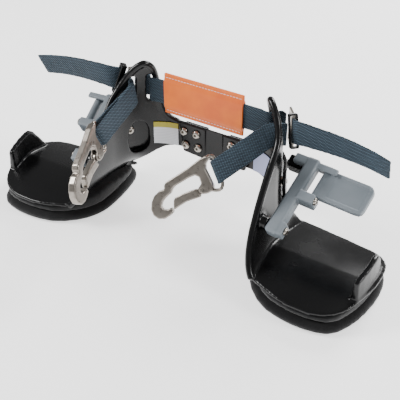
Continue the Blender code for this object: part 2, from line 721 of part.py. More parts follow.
def build_buckle(side, root):
    """Three-bar slide outside the horn, and the black keeper loop beside it."""
    middle_angle = (HOOK_SLOT_ANGLE + TETHER_SLOT_ANGLE) / 2
    frame = wall_frame(middle_angle, SLOT_Z, WALL_THICK / 2 + 8 * MM)
    tall, wide = WEB_WIDTH / 2 + 4 * MM, 8 * MM
    body = soften(prism([(-wide, -tall), (wide, -tall), (wide, tall), (-wide, tall)], frame, -1 * MM, 1 * MM),
                  0.4 * MM)
    buckle = add(SIDE_NAMES[side] + "_buckle", body, side, SCREW_STEEL, root)
    inner = tall - 3 * MM
    for k, x in enumerate((-3.4 * MM, 3.4 * MM)):
        cut_from(buckle, prism([(x - 2.2 * MM, -inner), (x + 2.2 * MM, -inner), (x + 2.2 * MM, inner),
                                (x - 2.2 * MM, inner)], frame, -5 * MM, 5 * MM), side, "window%d" % k)
    run = tail_run()
    ahead = (run[1] - run[0]).normalized()
    at = run[0] + ahead * 4 * MM
    turn = frame_of(at, ahead, (0, 0, 1))
    tall, deep = WEB_WIDTH / 2 + 1.2 * MM, WEB_THICK / 2 + KEEPER_SLACK
    high, thick, half = tall + 1.4 * MM, deep + KEEPER_WALL, KEEPER_LENGTH / 2
    keeper = soften(prism([(-half, -high), (half, -high), (half, high), (-half, high)], turn, -thick, thick),
                    0.6 * MM)
    keeper = add(SIDE_NAMES[side] + "_keeper", keeper, side, BLACK_NYLON, root)
    cut_from(keeper, prism([(-9 * MM, -tall), (9 * MM, -tall), (9 * MM, tall), (-9 * MM, tall)], turn,
                           -deep, deep), side, "channel")


# ---------------------------------------------------------------- snap hooks

HOOK_UNIT = HOOK_LENGTH / 79.5
BAR_CENTRE = (-1.7 * HOOK_UNIT, 16.3 * HOOK_UNIT)
HINGE_AT = (20.5 * HOOK_UNIT, 23.5 * HOOK_UNIT)
TONGUE_THICK = 3 * MM
TONGUE_RADIUS = 3.3 * MM
CHEEK_SLOT = TONGUE_THICK + 2 * TOUCH_GAP
SPRING_THICK = 1.0 * MM
SPRING_RADIUS = 2.4 * MM
EYE_PLACES = {RIGHT: (34 * MM, 10 * MM, 78 * MM), LEFT: (-67 * MM, -14.5 * MM, 93.5 * MM)}
HOOK_AHEAD = {RIGHT: (-0.653, -0.463, -0.598), LEFT: (0.26, -0.88, -0.40)}
HOOK_GATEWARD = {RIGHT: (0.720, -0.137, -0.680), LEFT: (0.15, 0.38, -0.91)}


def hook_frame(side):
    """Drawing frame of a hook: first axis from the eye to the nose, second from spine to gate."""
    turn = frame_of((0, 0, 0), HOOK_AHEAD[side], HOOK_GATEWARD[side])
    origin = Vector(EYE_PLACES[side]) - turn @ Vector((*BAR_CENTRE, 0))
    return Matrix.Translation(origin) @ turn


def in_hook_units(points):
    return [(a * HOOK_UNIT, b * HOOK_UNIT) for a, b in points]


HOOK_OUTLINE = in_hook_units([
    (-1.5, -1), (6, -2.2), (20, -1.2), (34, -1.2), (47, -1.4), (50.5, 0.5), (52, 3.6), (57, 2.2),
    (64, 3.4), (70, 7.2), (74.5, 13), (75.6, 19), (73, 24.6), (67.5, 27.6), (61, 27.6), (56.4, 26.6),
    (56.0, 21.6), (60, 21.4), (64.2, 19.2), (64.2, 15.6), (60, 12.2), (53.5, 10.6), (48.5, 10.0),
    (46, 8.0), (42, 6.6), (26, 7.2), (19, 8.4), (16.5, 12), (18.2, 18), (22.5, 19.6), (24.4, 23.5),
    (22.5, 27.4), (17.5, 29.4), (11.6, 29.6), (9.2, 26), (8.2, 18), (7.2, 9), (4.6, 5.2), (0.5, 3.2),
    (-2.2, 1.4)])
EYE_RUN = in_hook_units([(1.5, 0.6), (-2.4, 0.7), (-5.2, 3.2), (-3.9, 10), (-2.0, 17), (-0.1, 24), (1.4, 29.0),
                 (4.2, 31.8), (8.5, 31.8), (13.0, 28.4)])
GATE_OUTLINE = in_hook_units([
    (25.6, 19.6), (31, 18.0), (40, 16.4), (47.5, 15.6), (50.2, 17.2), (53.2, 21.4), (55.0, 25.2),
    (49, 24.8), (40, 25.0), (33, 26.6), (25.6, 28.4)])


def build_hook(side, root):
    name = SIDE_NAMES[side] + "_hook"
    frame = hook_frame(side)
    pivot = EYE_PLACES[side]
    swing = empty(name + "_swing", pivot, root)
    half = HOOK_THICK / 2
    body = soften(prism(HOOK_OUTLINE, frame, -half, half), 0.7 * MM, 1, math.radians(60))
    hook = add(name + "_body", body, RIGHT, CAST_STEEL, swing, pivot)
    eye = [frame @ Vector((a, b, 0)) for a, b in smooth_run(EYE_RUN, 15)]
    boolean_here(hook, tube(eye, EYE_ROD / 2, 7), "UNION", "eye")
    hinge_a, hinge_b = HINGE_AT
    slot_low = hinge_a - TONGUE_RADIUS - 0.6 * MM
    slot = [(slot_low, hinge_b - 6 * MM), (hinge_a + 9 * MM, hinge_b - 9 * MM),
            (hinge_a + 9 * MM, hinge_b + 9 * MM), (slot_low, hinge_b + 9 * MM)]
    boolean_here(hook, prism(slot, frame, -CHEEK_SLOT / 2, CHEEK_SLOT / 2), "DIFFERENCE", "cheeks")

    def pin_rod(radius, reach, sides=16, low=None):
        ends = [frame @ Vector((hinge_a, hinge_b, h)) for h in (-reach if low is None else low, reach)]
        return rod(ends[0], ends[1], radius, sides)

    boolean_here(hook, pin_rod(PIN_DIAMETER / 2 + 0.1 * MM, 20 * MM), "DIFFERENCE", "pin_bore")
    hinge = frame @ Vector((hinge_a, hinge_b, 0))
    swivel = empty(name + "_gate_hinge", hinge, swing)
    gate_half = GATE_WIDTH / 2
    blade = soften(prism(GATE_OUTLINE, frame, -gate_half, gate_half), 0.5 * MM, 1, math.radians(60))
    gate = add(name + "_gate", blade, RIGHT, CAST_STEEL, swivel, hinge)
    tongue = [(hinge_a + TONGUE_RADIUS * math.cos(t), hinge_b + TONGUE_RADIUS * math.sin(t))
              for t in [math.radians(60 + 15 * k) for k in range(17)]]
    tongue += [(hinge_a + 9 * MM, hinge_b - 3.2 * MM), (hinge_a + 9 * MM, hinge_b + 3.2 * MM)]
    boolean_here(gate, prism(tongue, frame, -TONGUE_THICK / 2, TONGUE_THICK / 2), "UNION", "tongue")
    boolean_here(gate, pin_rod(PIN_DIAMETER / 2 + BORE_GAP, 20 * MM), "DIFFERENCE", "pin_bore")
    pocket = TONGUE_THICK / 2 - SPRING_THICK - 2 * 0.15 * MM
    boolean_here(gate, pin_rod(SPRING_RADIUS + 0.2 * MM, 10 * MM, 16, pocket), "DIFFERENCE", "pocket")
    pin_half = half + 0.4 * MM
    add(name + "_gate_pin", pin_rod(PIN_DIAMETER / 2, pin_half), RIGHT, SCREW_STEEL, swing, pivot)
    low = pocket + 0.15 * MM
    coil = add(name + "_gate_spring", pin_rod(SPRING_RADIUS, low + SPRING_THICK, 16, low), RIGHT,
               SCREW_STEEL, swivel, hinge)
    boolean_here(coil, pin_rod(PIN_DIAMETER / 2 + BORE_GAP, 20 * MM), "DIFFERENCE", "bore")


def boolean_here(ob, bm, operation, label):
    """Boolean with a shape that is already in its own place on either side."""
    return boolean(ob, bm, RIGHT, operation, label)


def build_hook_strap(side, root):
    """Sewn loop from the horn's front slot round the bar of the hook's eye."""
    frame = hook_frame(side)
    turn = frame.to_3x3()
    eye = Vector(EYE_PLACES[side])
    bar_up = -(turn @ Vector((0.2, 0.97, 0))).normalized()
    mouth = [on_side(slot_point(HOOK_SLOT_ANGLE, out), side) for out in (5 * MM, 0, -5 * MM)]
    way = eye - mouth[2]
    inward = (mouth[2] - mouth[0]).normalized()
    centre = mouth + [mouth[2] + inward * 3 * MM + way * 0.08, mouth[2] + way * 0.5 + inward * 1.5 * MM, eye]
    count = 14
    line = [Vector(p) for p in smooth_run([tuple(p) for p in centre], count)]
    near, far = WEB_THICK / 2 + 0.15 * MM, EYE_ROD / 2 + 2 * TOUCH_GAP + WEB_THICK / 2
    ups, sides_out, spreads = [], [], []
    for i, point in enumerate(line):
        f = i / (count - 1)
        up = Vector((0, 0, 1)).lerp(bar_up, f * f * (3 - 2 * f)).normalized()
        ahead = line[min(i + 1, count - 1)] - line[max(i - 1, 0)]
        ups.append(up)
        sides_out.append(up.cross(ahead).normalized())
        spreads.append(near + (far - near) * max(0.0, (f - 0.6) / 0.4) ** 1.5)
    path = [p + o * d for p, o, d in zip(line, sides_out, spreads)]
    across = list(ups)
    ahead = (line[-1] - line[-2]).normalized()
    for k in range(1, 8):
        turn_by = k * math.pi / 8
        path.append(line[-1] + far * (math.cos(turn_by) * sides_out[-1] + math.sin(turn_by) * ahead))
        across.append(ups[-1])
    path += [p - o * d for p, o, d in zip(line, sides_out, spreads)][::-1]
    across += ups[::-1]
    add(SIDE_NAMES[side] + "_hook_strap", strap(path, across, HOOK_WEB_WIDTH, WEB_THICK), RIGHT, NAVY_WEB, root)


# ---------------------------------------------------------------- latch arms

ARM_OUTER_X = ARM_INNER_X + ARM_WIDTH
HINGE_BOSS = (PADDLE_FROM - 8.5 * MM, PADDLE_FROM - TOUCH_GAP)
REAR_BOSS = (ARM_REACH - 6 * MM, ARM_REACH - 0.4 * MM)
BLOCK_SCREW_ALONG = PADDLE_FROM - 4.2 * MM
BLOCK_SCREW_LIFT = 2.4 * MM
LATCH_HEAD = 6.6 * MM
LATCH_RISE = 1.8 * MM
LATCH_SEAT_X = ARM_OUTER_X + 3.5 * MM
LINER_THICK = 1.6 * MM
CATCH_GAP = 1.3 * MM


def arm_frame(x=0.0):
    """Drawing frame whose first axis runs along the bar, second above it, third along the hinge."""
    axis, along, up = arm_axes()
    return frame_of(pivot_point(x), along, up)


def arm_block(along0, along1, lift0, lift1, x0, x1, round_off=0.0):
    outline = [(along0, lift0), (along1, lift0), (along1, lift1), (along0, lift1)]
    bm = prism(outline, arm_frame(), x0, x1)
    return soften(bm, round_off) if round_off else bm


def build_arm(side, root):
    name = SIDE_NAMES[side] + "_latch_arm"
    pivot = pivot_point(ARM_INNER_X + ARM_WIDTH / 2)
    hinge = empty(name + "_hinge", on_side(pivot, side), root)
    half = ARM_HEIGHT / 2
    arm = add(name, arm_block(-ARM_FRONT, ARM_REACH, -half, half, ARM_INNER_X, ARM_OUTER_X, 1.6 * MM),
              side, GREY_NYLON, hinge, pivot)
    bite = 2 * MM
    join_to(arm, arm_block(-6 * MM, 5.2 * MM, -5.1 * MM, 5 * MM, ARM_OUTER_X - 2 * bite, LATCH_SEAT_X,
                           0.7 * MM), side, "front_boss")
    cut_from(arm, rod(pivot_point(ARM_INNER_X - 5 * MM), pivot_point(LATCH_SEAT_X + 9 * MM),
                      ARM_BORE / 2 + BORE_GAP, 18), side, "pivot_bore")
    join_to(arm, arm_block(ARM_REACH - LUG_LENGTH, ARM_REACH - 0.7 * MM, LUG_LOW, half - 0.4 * MM, LUG_INNER_X,
                           ARM_INNER_X + bite, 0.8 * MM), side, "lug")
    pin_lift = PADDLE_LIFT
    boss_low, boss_high = pin_lift - 4.3 * MM, BLOCK_SCREW_LIFT + 4.3 * MM
    join_to(arm, arm_block(*HINGE_BOSS, boss_low, boss_high, ARM_OUTER_X - bite, HINGE_X + 4.3 * MM, 0.9 * MM),
            side, "hinge_boss")
    join_to(arm, arm_block(*REAR_BOSS, boss_low, pin_lift + 4.3 * MM, ARM_OUTER_X - bite, HINGE_X + 3.6 * MM,
                           0.9 * MM), side, "rear_boss")
    join_to(arm, arm_block(ARM_REACH - 7.5 * MM, ARM_REACH - 2 * MM, pin_lift + KNUCKLE / 2 + 0.5 * MM,
                           half - 1.2 * MM, ARM_OUTER_X - bite, HINGE_X + 9 * MM, 0.7 * MM), side, "finger")
    cut_from(arm, rod(pivot_point(HINGE_X, HINGE_BOSS[0] + 2 * MM, pin_lift),
                      pivot_point(HINGE_X, ARM_REACH + 9 * MM, pin_lift), HINGE_PIN / 2 + BORE_GAP, 14),
             side, "hinge_bore")
    seat = HINGE_X + 4.3 * MM
    cut_from(arm, rod(pivot_point(seat - 9 * MM, BLOCK_SCREW_ALONG, BLOCK_SCREW_LIFT),
                      pivot_point(seat + 9 * MM, BLOCK_SCREW_ALONG, BLOCK_SCREW_LIFT),
                      1.5 * MM + BORE_GAP, 12), side, "block_screw_bore")
    inward = -arm_axes()[0]
    screw = button_screw(pivot_point(LATCH_SEAT_X + TOUCH_GAP), inward,
                         LATCH_SEAT_X - ARM_INNER_X + 7 * MM, LATCH_HEAD, ARM_BORE, LATCH_RISE)
    add(SIDE_NAMES[side] + "_arm_pivot_screw", screw, side, SCREW_STEEL, root)
    screw = button_screw(pivot_point(seat + TOUCH_GAP, BLOCK_SCREW_ALONG, BLOCK_SCREW_LIFT), inward,
                         8.5 * MM, LATCH_HEAD, 3 * MM, LATCH_RISE)
    add(SIDE_NAMES[side] + "_hinge_block_screw", screw, side, SCREW_STEEL, hinge, pivot)
    pin = rod(pivot_point(HINGE_X, HINGE_BOSS[0] + 2.4 * MM, pin_lift),
              pivot_point(HINGE_X, REAR_BOSS[1] - 0.4 * MM, pin_lift), HINGE_PIN / 2, 14)
    add(SIDE_NAMES[side] + "_paddle_pin", pin, side, SCREW_STEEL, hinge, pivot)
    build_paddle(side, hinge)


def build_paddle(side, arm_hinge):
    """Finger paddle and its liner, drawn open and then folded about its pin on the left side."""
    fold = LEFT_PADDLE_FOLD if side == LEFT else 0.0
    hub = pivot_point(HINGE_X, PADDLE_FROM, PADDLE_LIFT)
    axis, along, up = arm_axes()
    turn = Matrix.Translation(hub) @ Matrix.Rotation(fold, 4, along) @ Matrix.Translation(-hub)
    name = SIDE_NAMES[side] + "_paddle"
    hinge = empty(name + "_hinge", on_side(hub, side), arm_hinge)
    near, far = PADDLE_FROM + TOUCH_GAP, PADDLE_FROM + PADDLE_WIDTH
    inner = REAR_BOSS[0] - TOUCH_GAP
    tip = HINGE_X + PADDLE_LENGTH
    low, high = PADDLE_LIFT - PADDLE_THICK / 2, PADDLE_LIFT + PADDLE_THICK / 2
    face = turn @ frame_of(pivot_point(0), axis, along)
    notch = HINGE_X + PADDLE_NOTCH
    corner = 6 * MM

    def bend(cx, cy, start):
        return [(cx + corner * math.cos(t), cy + corner * math.sin(t))
                for t in [start + math.pi / 2 * k / 4 for k in range(5)]]

    outline = [(HINGE_X, near)] + bend(tip - corner, near + corner, -math.pi / 2)
    outline += bend(tip - corner, far - corner, 0) + [(notch, far), (notch, inner), (HINGE_X, inner)]
    plate = soften(prism(outline, face, low, high), 0.8 * MM)
    paddle = add(name, plate, side, GREY_NYLON, hinge, hub)

    def turned_rod(along0, along1, radius, sides=18):
        return rod(turn @ pivot_point(HINGE_X, along0, PADDLE_LIFT),
                   turn @ pivot_point(HINGE_X, along1, PADDLE_LIFT), radius, sides)

    join_to(paddle, turned_rod(near, inner, KNUCKLE / 2), side, "knuckle")
    cut_from(paddle, turned_rod(near - 5 * MM, inner + 5 * MM, HINGE_PIN / 2 + BORE_GAP, 14), side, "bore")
    rim = 3.2 * MM
    dish = [(notch + rim, near + rim), (tip - rim, near + rim), (tip - rim, far - rim), (notch + rim, far - rim)]
    cut_from(paddle, prism(dish, face, high - 0.7 * MM, high + 5 * MM), side, "dish")
    inset = 1.6 * MM
    liner = [(notch + 2 * MM, near + inset), (tip - inset - 2 * MM, near + inset), (tip - inset, near + inset + 2 * MM),
             (tip - inset, far - inset - 2 * MM), (tip - inset - 2 * MM, far - inset), (notch + 2 * MM, far - inset)]
    top = low - TOUCH_GAP
    add(name + "_liner", prism(liner, face, top - LINER_THICK, top), side, FOAM_BLACK, hinge, hub)


def build_catch(side, root):
    """Cover over the wall's oval opening, with the block that the arm's lug rests on, and its screw."""
    name = SIDE_NAMES[side] + "_latch_catch"
    inner = WALL_THICK / 2 + CATCH_GAP
    spread = (OVAL_HALF[0] + 5 * MM) / WALL_CORNER
    station0 = station_at_angle(OVAL_ANGLE - spread)
    station1 = station_at_angle(OVAL_ANGLE + spread)
    cover = wall_patch(station0, station1, OVAL_Z - OVAL_HALF[1] - 4 * MM, OVAL_Z + OVAL_HALF[1] + 8 * MM,
                       inner, inner + 3 * MM, 10, 7)
    catch = add(name, cover, side, BLACK_NYLON, root)
    rest = LUG_LOW - TOUCH_GAP
    join_to(catch, arm_block(ARM_REACH - 11.5 * MM, ARM_REACH - 1 * MM, rest - 12 * MM, rest,
                             LUG_INNER_X - 7 * MM, ARM_INNER_X - 2 * TOUCH_GAP, 0.8 * MM), side, "block")
    station = station_at_angle(OVAL_ANGLE) + 5.5 * MM
    seat = wall_point(station, OVAL_Z + 8 * MM, inner - TOUCH_GAP)
    out = plan(station)[1].to_3d()
    cut_from(catch, rod(seat - out * 5 * MM, seat + out * 6 * MM, 1.5 * MM + BORE_GAP, 12), side, "screw_bore")
    add(SIDE_NAMES[side] + "_catch_screw", button_screw(seat, out, 3.2 * MM, 6.4 * MM, 3 * MM, 2.2 * MM),
        side, SCREW_STEEL, root)


LABEL_ANGLES = (math.radians(9), math.radians(38))
LABEL_LOW = 50 * MM
LABEL_HIGH = FLANGE_HIGH - 2 * MM
LABEL_THICK = 0.4 * MM
LABEL_GAP = 0.5 * MM


def build_label(side, root):
    """Blank printed label on the inner face of the wall, beside the bridge."""
    face = -WALL_THICK / 2 - LABEL_GAP
    patch = wall_patch(station_at_angle(LABEL_ANGLES[0]), station_at_angle(LABEL_ANGLES[1]), LABEL_LOW,
                       LABEL_HIGH, face - LABEL_THICK, face, 9, 5)
    add(SIDE_NAMES[side] + "_label", patch, side, LABEL_WHITE, root)


def stand_on_origin(root):
    """Move the whole model so that the middle of its footprint is the origin."""
    bpy.context.view_layer.update()
    depsgraph = bpy.context.evaluated_depsgraph_get()
    low, high = Vector((1, 1, 1)), Vector((-1, -1, -1))
    for ob in bpy.data.objects:
        if ob.type != "MESH" or ob.hide_render:
            continue
        shape = ob.evaluated_get(depsgraph)
        for vert in shape.data.vertices:
            place = shape.matrix_world @ vert.co
            low = Vector(map(min, low, place))
            high = Vector(map(max, high, place))
    shift = Vector((-(low.x + high.x) / 2, -(low.y + high.y) / 2, -low.z))
    root.location = shift
    for ob in bpy.data.objects:
        if ob.hide_render and ob.type == "MESH":
            ob.location = Vector(ob.location) + shift


def build_all():
    clear_scene()
    root = empty("restraint", (0, 0, 0))
    for side in (RIGHT, LEFT):
        build_shell(side, root)
        build_foam(side, root)
        build_fastener(side, root)
        build_bridge_screws(side, root)
        build_tail(side, root)
        build_buckle(side, root)
        build_hook(side, root)
        build_hook_strap(side, root)
        build_arm(side, root)
        build_catch(side, root)
        build_label(side, root)
    build_bridge(root)
    build_tether(root)
    build_sleeve(root)
    stand_on_origin(root)


build_all()
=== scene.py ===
"""Looks of a collar-type head and neck restraint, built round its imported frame."""
import json
import math

import bmesh
import bpy
from bpy.props import FloatProperty, FloatVectorProperty, IntProperty, PointerProperty
from mathutils import Matrix, Vector

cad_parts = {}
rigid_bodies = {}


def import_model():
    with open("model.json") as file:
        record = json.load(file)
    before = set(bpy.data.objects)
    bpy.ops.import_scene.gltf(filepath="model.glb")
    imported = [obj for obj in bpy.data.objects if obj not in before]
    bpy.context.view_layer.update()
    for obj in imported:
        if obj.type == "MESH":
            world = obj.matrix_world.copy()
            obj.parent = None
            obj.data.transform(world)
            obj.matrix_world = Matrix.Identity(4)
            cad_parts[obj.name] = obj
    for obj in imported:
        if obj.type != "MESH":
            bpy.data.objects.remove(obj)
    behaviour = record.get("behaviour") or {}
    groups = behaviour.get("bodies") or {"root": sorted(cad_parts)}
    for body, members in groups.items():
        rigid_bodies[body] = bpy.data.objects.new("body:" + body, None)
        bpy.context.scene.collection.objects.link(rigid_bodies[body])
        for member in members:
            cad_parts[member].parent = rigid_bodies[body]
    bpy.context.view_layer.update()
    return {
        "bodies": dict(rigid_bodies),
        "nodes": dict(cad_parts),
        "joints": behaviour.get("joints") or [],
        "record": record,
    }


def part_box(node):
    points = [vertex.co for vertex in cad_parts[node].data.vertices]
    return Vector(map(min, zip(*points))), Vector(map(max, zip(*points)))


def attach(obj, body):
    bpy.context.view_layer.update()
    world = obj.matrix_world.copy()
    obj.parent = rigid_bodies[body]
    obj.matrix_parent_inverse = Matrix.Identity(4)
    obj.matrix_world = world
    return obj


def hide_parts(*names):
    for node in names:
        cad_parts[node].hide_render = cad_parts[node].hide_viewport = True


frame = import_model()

bl_info = {
    "name": "Head and neck restraint",
    "version": (1, 0, 0),
    "blender": (4, 5, 0),
    "location": "View3D > Sidebar > Restraint",
    "description": "Moulded shells, pads, webbing, hooks and latches round a fixed frame",
    "category": "Object",
}

MM = 0.001
RIGHT = 1
LEFT = -1
SIDE_NAMES = {RIGHT: "right", LEFT: "left"}

# Collar wall, in plan: a straight side, a round corner and a straight back
WALL_HALF_WIDTH = 80 * MM
WALL_CORNER = 48 * MM
WALL_BACK_Y = 66 * MM
WALL_THICK = 4 * MM
FOOT_HALF_WIDTH = 93 * MM
FOOT_FALL = 14 * MM
HORN_LEAN = 9 * MM
HORN_LEAN_FROM = 100 * MM
HORN_TOP = 136 * MM
BEAD_RADIUS = 3.0 * MM
FLANGE_INNER_X = 10 * MM
FLANGE_LOW = 49 * MM
FLANGE_HIGH = 75 * MM

# Shoulder plate: a gentle ridge along X
PLATE_THICK = 3 * MM
RIDGE_Z = 28 * MM
RIDGE_Y = 5 * MM
RIDGE_SLOPE = 0.08
RIDGE_CURVE = 1.8
PLATE_OUTER_X = 181 * MM
PLATE_FRONT_Y = -45 * MM

# Belt fin on the outer rim
FIN_FRONT_Y = -20 * MM
FIN_BACK_Y = 28 * MM
FIN_THICK = 4.5 * MM
FIN_RISE = 21 * MM

# Slots, oval, screws and the latch arm's place
WEB_WIDTH = 23 * MM
SLOT_WIDTH = 7 * MM
SLOT_SPARE = 2 * MM
SLOT_Z = 109 * MM
HOOK_SLOT_ANGLE = math.radians(61)
TETHER_SLOT_ANGLE = math.radians(40)
OVAL_ANGLE = math.radians(55)
OVAL_Z = 57 * MM
OVAL_HALF = (10 * MM, 18 * MM)
BRIDGE_HALF = 37 * MM
BRIDGE_SCREWS = ((31 * MM, 69.5 * MM), (18 * MM, 70 * MM), (29 * MM, 56 * MM), (16 * MM, 56.5 * MM))
ARM_SPLAY = math.radians(6)
ARM_INNER_X = 90 * MM

# Sleeve: a raised band over the webbing between two flat sewn edges
SLEEVE_FLAT = 0.42
SLEEVE_WAIST = 0.06
SLEEVE_EASE = 1.2 * MM
SLEEVE_FOLD = 0.8 * MM
STITCH_START = 3 * MM
STITCH_PROUD = 0.04 * MM

# Camera and lights
CAMERA_PLACE = (0.307, -0.460, 0.443)
CAMERA_AZIMUTH = math.radians(31.7)
CAMERA_ELEVATION = math.radians(36)
CAMERA_LENS = 72
CAMERA_SENSOR = 36
FLOOR_HALF = 6.0

CORNER_FROM = WALL_HALF_WIDTH - WALL_CORNER
CORNER_Y = WALL_BACK_Y - WALL_CORNER
CORNER_END = CORNER_FROM + WALL_CORNER * math.pi / 2


def station_at_angle(angle):
    return CORNER_FROM + WALL_CORNER * angle


def station_at_y(y):
    return CORNER_END + CORNER_Y - y


def smooth_run(points, count, closed=False):
    """Points along a Catmull-Rom curve through the given points of any length."""
    total = len(points)
    spans = total if closed else total - 1
    out = []
    for i in range(count):
        t = i * spans / (count if closed else count - 1)
        span = min(int(t), spans - 1)
        f = t - span
        picks = []
        for k in (-1, 0, 1, 2):
            j = span + k
            picks.append(points[j % total] if closed else points[min(max(j, 0), total - 1)])
        out.append(tuple(
            0.5 * (2 * b + (c - a) * f + (2 * a - 5 * b + 4 * c - d) * f * f
                   + (3 * b - a - 3 * c + d) * f ** 3)
            for a, b, c, d in zip(*picks)))
    return out


def skin(outer, inner):
    """Closed solid between two point grids of the same size."""
    bm = bmesh.new()
    rows, cols = len(outer), len(outer[0])
    top = [[bm.verts.new(p) for p in row] for row in outer]
    low = [[bm.verts.new(p) for p in row] for row in inner]
    for r in range(rows - 1):
        for c in range(cols - 1):
            bm.faces.new((top[r][c], top[r][c + 1], top[r + 1][c + 1], top[r + 1][c]))
            bm.faces.new((low[r][c], low[r + 1][c], low[r + 1][c + 1], low[r][c + 1]))
    rim = [(0, c) for c in range(cols)] + [(r, cols - 1) for r in range(1, rows)]
    rim += [(rows - 1, c) for c in range(cols - 2, -1, -1)] + [(r, 0) for r in range(rows - 2, 0, -1)]
    for (r0, c0), (r1, c1) in zip(rim, rim[1:] + rim[:1]):
        bm.faces.new((top[r0][c0], low[r0][c0], low[r1][c1], top[r1][c1]))
    return bm


def prism(outline, frame, low, high):
    """Outline in the frame's first two axes, raised along its third."""
    bm = bmesh.new()
    rings = [[bm.verts.new(frame @ Vector((a, b, h))) for a, b in outline] for h in (low, high)]
    bm.faces.new(rings[0][::-1])
    bm.faces.new(rings[1])
    for i in range(len(outline)):
        j = (i + 1) % len(outline)
        bm.faces.new((rings[0][i], rings[0][j], rings[1][j], rings[1][i]))
    return bm


def frame_of(origin, first, second):
    """Matrix from a flat drawing to space: its X along first, its Y towards second."""
    first = Vector(first).normalized()
    third = first.cross(Vector(second)).normalized()
    second = third.cross(first)
    turn = Matrix((first, second, third)).transposed().to_4x4()
    return Matrix.Translation(Vector(origin)) @ turn


def rod(start, end, radius, sides=16, end_radius=None):
    start, end = Vector(start), Vector(end)
    bm = bmesh.new()
    turn = (end - start).to_track_quat("Z", "Y").to_matrix().to_4x4()
    bmesh.ops.create_cone(bm, cap_ends=True, segments=sides, radius1=radius,
                          radius2=radius if end_radius is None else end_radius,
                          depth=(end - start).length,
                          matrix=Matrix.Translation((start + end) / 2) @ turn)
    return bm


def tube(path, radius, sides=8):
    """Closed round bar swept along a path."""
    bm = bmesh.new()
    rings = []
    up = Vector((0, 0, 1))
    for i, point in enumerate(path):
        ahead = Vector(path[min(i + 1, len(path) - 1)]) - Vector(path[max(i - 1, 0)])
        ahead.normalize()
        side = ahead.cross(up)
        side = side.normalized() if side.length > 0.2 else ahead.cross(Vector((1, 0, 0))).normalized()
        if rings and side.dot(last) < 0:
            side = -side
        last = side
        across = ahead.cross(side)
        rings.append([bm.verts.new(Vector(point) + radius * (math.cos(k * math.tau / sides) * side
                                                            + math.sin(k * math.tau / sides) * across))
                      for k in range(sides)])
    for low, high in zip(rings, rings[1:]):
        for k in range(sides):
            m = (k + 1) % sides
            bm.faces.new((low[k], low[m], high[m], high[k]))
    bm.faces.new(rings[0][::-1])
    bm.faces.new(rings[-1])
    return bm


def plan(station):
    """Point and outward direction on the wall's middle line, station measured from the back's centre."""
    if station <= CORNER_FROM:
        return Vector((station, WALL_BACK_Y)), Vector((0, 1))
    if station < CORNER_END:
        angle = (station - CORNER_FROM) / WALL_CORNER
        out = Vector((math.sin(angle), math.cos(angle)))
        return Vector((CORNER_FROM, CORNER_Y)) + WALL_CORNER * out, out
    return Vector((WALL_HALF_WIDTH, CORNER_Y + CORNER_END - station)), Vector((1, 0))


def foot_spread(station):
    """How far the foot of the wall stands outside its middle line."""
    angle = min(max(0.0, station - CORNER_FROM) / WALL_CORNER, math.pi / 2)
    square = 6
    side_reach = FOOT_HALF_WIDTH - CORNER_FROM
    reach = ((math.sin(angle) / side_reach) ** square + (math.cos(angle) / WALL_CORNER) ** square)
    return reach ** (-1 / square) - WALL_CORNER


def wall_point(station, z, outward=0.0):
    middle, out = plan(station)
    spread = foot_spread(station) * math.exp(-(z - RIDGE_Z + 8 * MM) / FOOT_FALL)
    lean = HORN_LEAN * (max(0.0, z - HORN_LEAN_FROM) / (HORN_TOP - HORN_LEAN_FROM)) ** 2
    place = middle + out * (spread - lean + outward)
    return Vector((place.x, place.y, z))


def plate_top(y):
    away = abs(y - RIDGE_Y)
    return RIDGE_Z - RIDGE_SLOPE * away - RIDGE_CURVE * away * away


def wall_profile():
    """(station, lower edge, upper edge) from the front foot round to the flange."""
    def on_plate(y):
        return plate_top(y) - PLATE_THICK / 2

    def corner(degrees, low, high):
        return (station_at_angle(math.radians(degrees)), low, high)

    horn = HORN_TOP
    marks = [(station_at_y(y), on_plate(y), high) for y, high in (
        (-35 * MM, 22 * MM), (-31 * MM, 29 * MM), (-12 * MM, 60 * MM), (6 * MM, 88.5 * MM))]
    marks += [
        corner(90, on_plate(18 * MM), 104 * MM),
        corner(80, on_plate(26 * MM), 112 * MM),
        corner(71, on_plate(34 * MM), 121 * MM),
        corner(63, on_plate(48 * MM), horn - 7 * MM),
        corner(55, 22 * MM, horn - 2 * MM),
        corner(47, 31 * MM, horn),
        corner(39, 38 * MM, horn - 4 * MM),
        corner(35, 41 * MM, horn - 11 * MM),
        corner(32, 42.5 * MM, 110 * MM),
        corner(29.5, 44 * MM, 95 * MM),
        corner(25, 46 * MM, 83 * MM),
        corner(17, 48 * MM, FLANGE_HIGH + 2 * MM),
        corner(6, FLANGE_LOW, FLANGE_HIGH),
        (FLANGE_INNER_X, FLANGE_LOW, FLANGE_HIGH)]
    return marks


def wall_grid(profile, outward, rows):
    return [[wall_point(s, low + (high - low) * r / (rows - 1), outward) for s, low, high in profile]
            for r in range(rows)]


def plate_outline():
    x_out, y_front = PLATE_OUTER_X, PLATE_FRONT_Y
    inner = FOOT_HALF_WIDTH
    return [(inner - 4 * MM, -30 * MM), (inner - 3 * MM, -33.5 * MM), (inner + 12 * MM, y_front + 6 * MM),
            (inner + 28 * MM, y_front + 1.5 * MM), (inner + 48 * MM, y_front),
            (x_out - 22 * MM, y_front + 5 * MM),
            (x_out - 10 * MM, y_front + 16 * MM), (x_out - 4 * MM, -14 * MM), (x_out, 3 * MM),
            (x_out - 0.5 * MM, 20 * MM), (x_out - 4 * MM, 35 * MM), (x_out - 14 * MM, 46 * MM),
            (x_out - 34 * MM, 51 * MM), (x_out - 70 * MM, 57 * MM), (inner - 4 * MM, 60 * MM),
            (inner - 9 * MM, 58 * MM), (inner - 5 * MM, 48 * MM), (inner - 3 * MM, 25 * MM),
            (inner - 3 * MM, 0)]


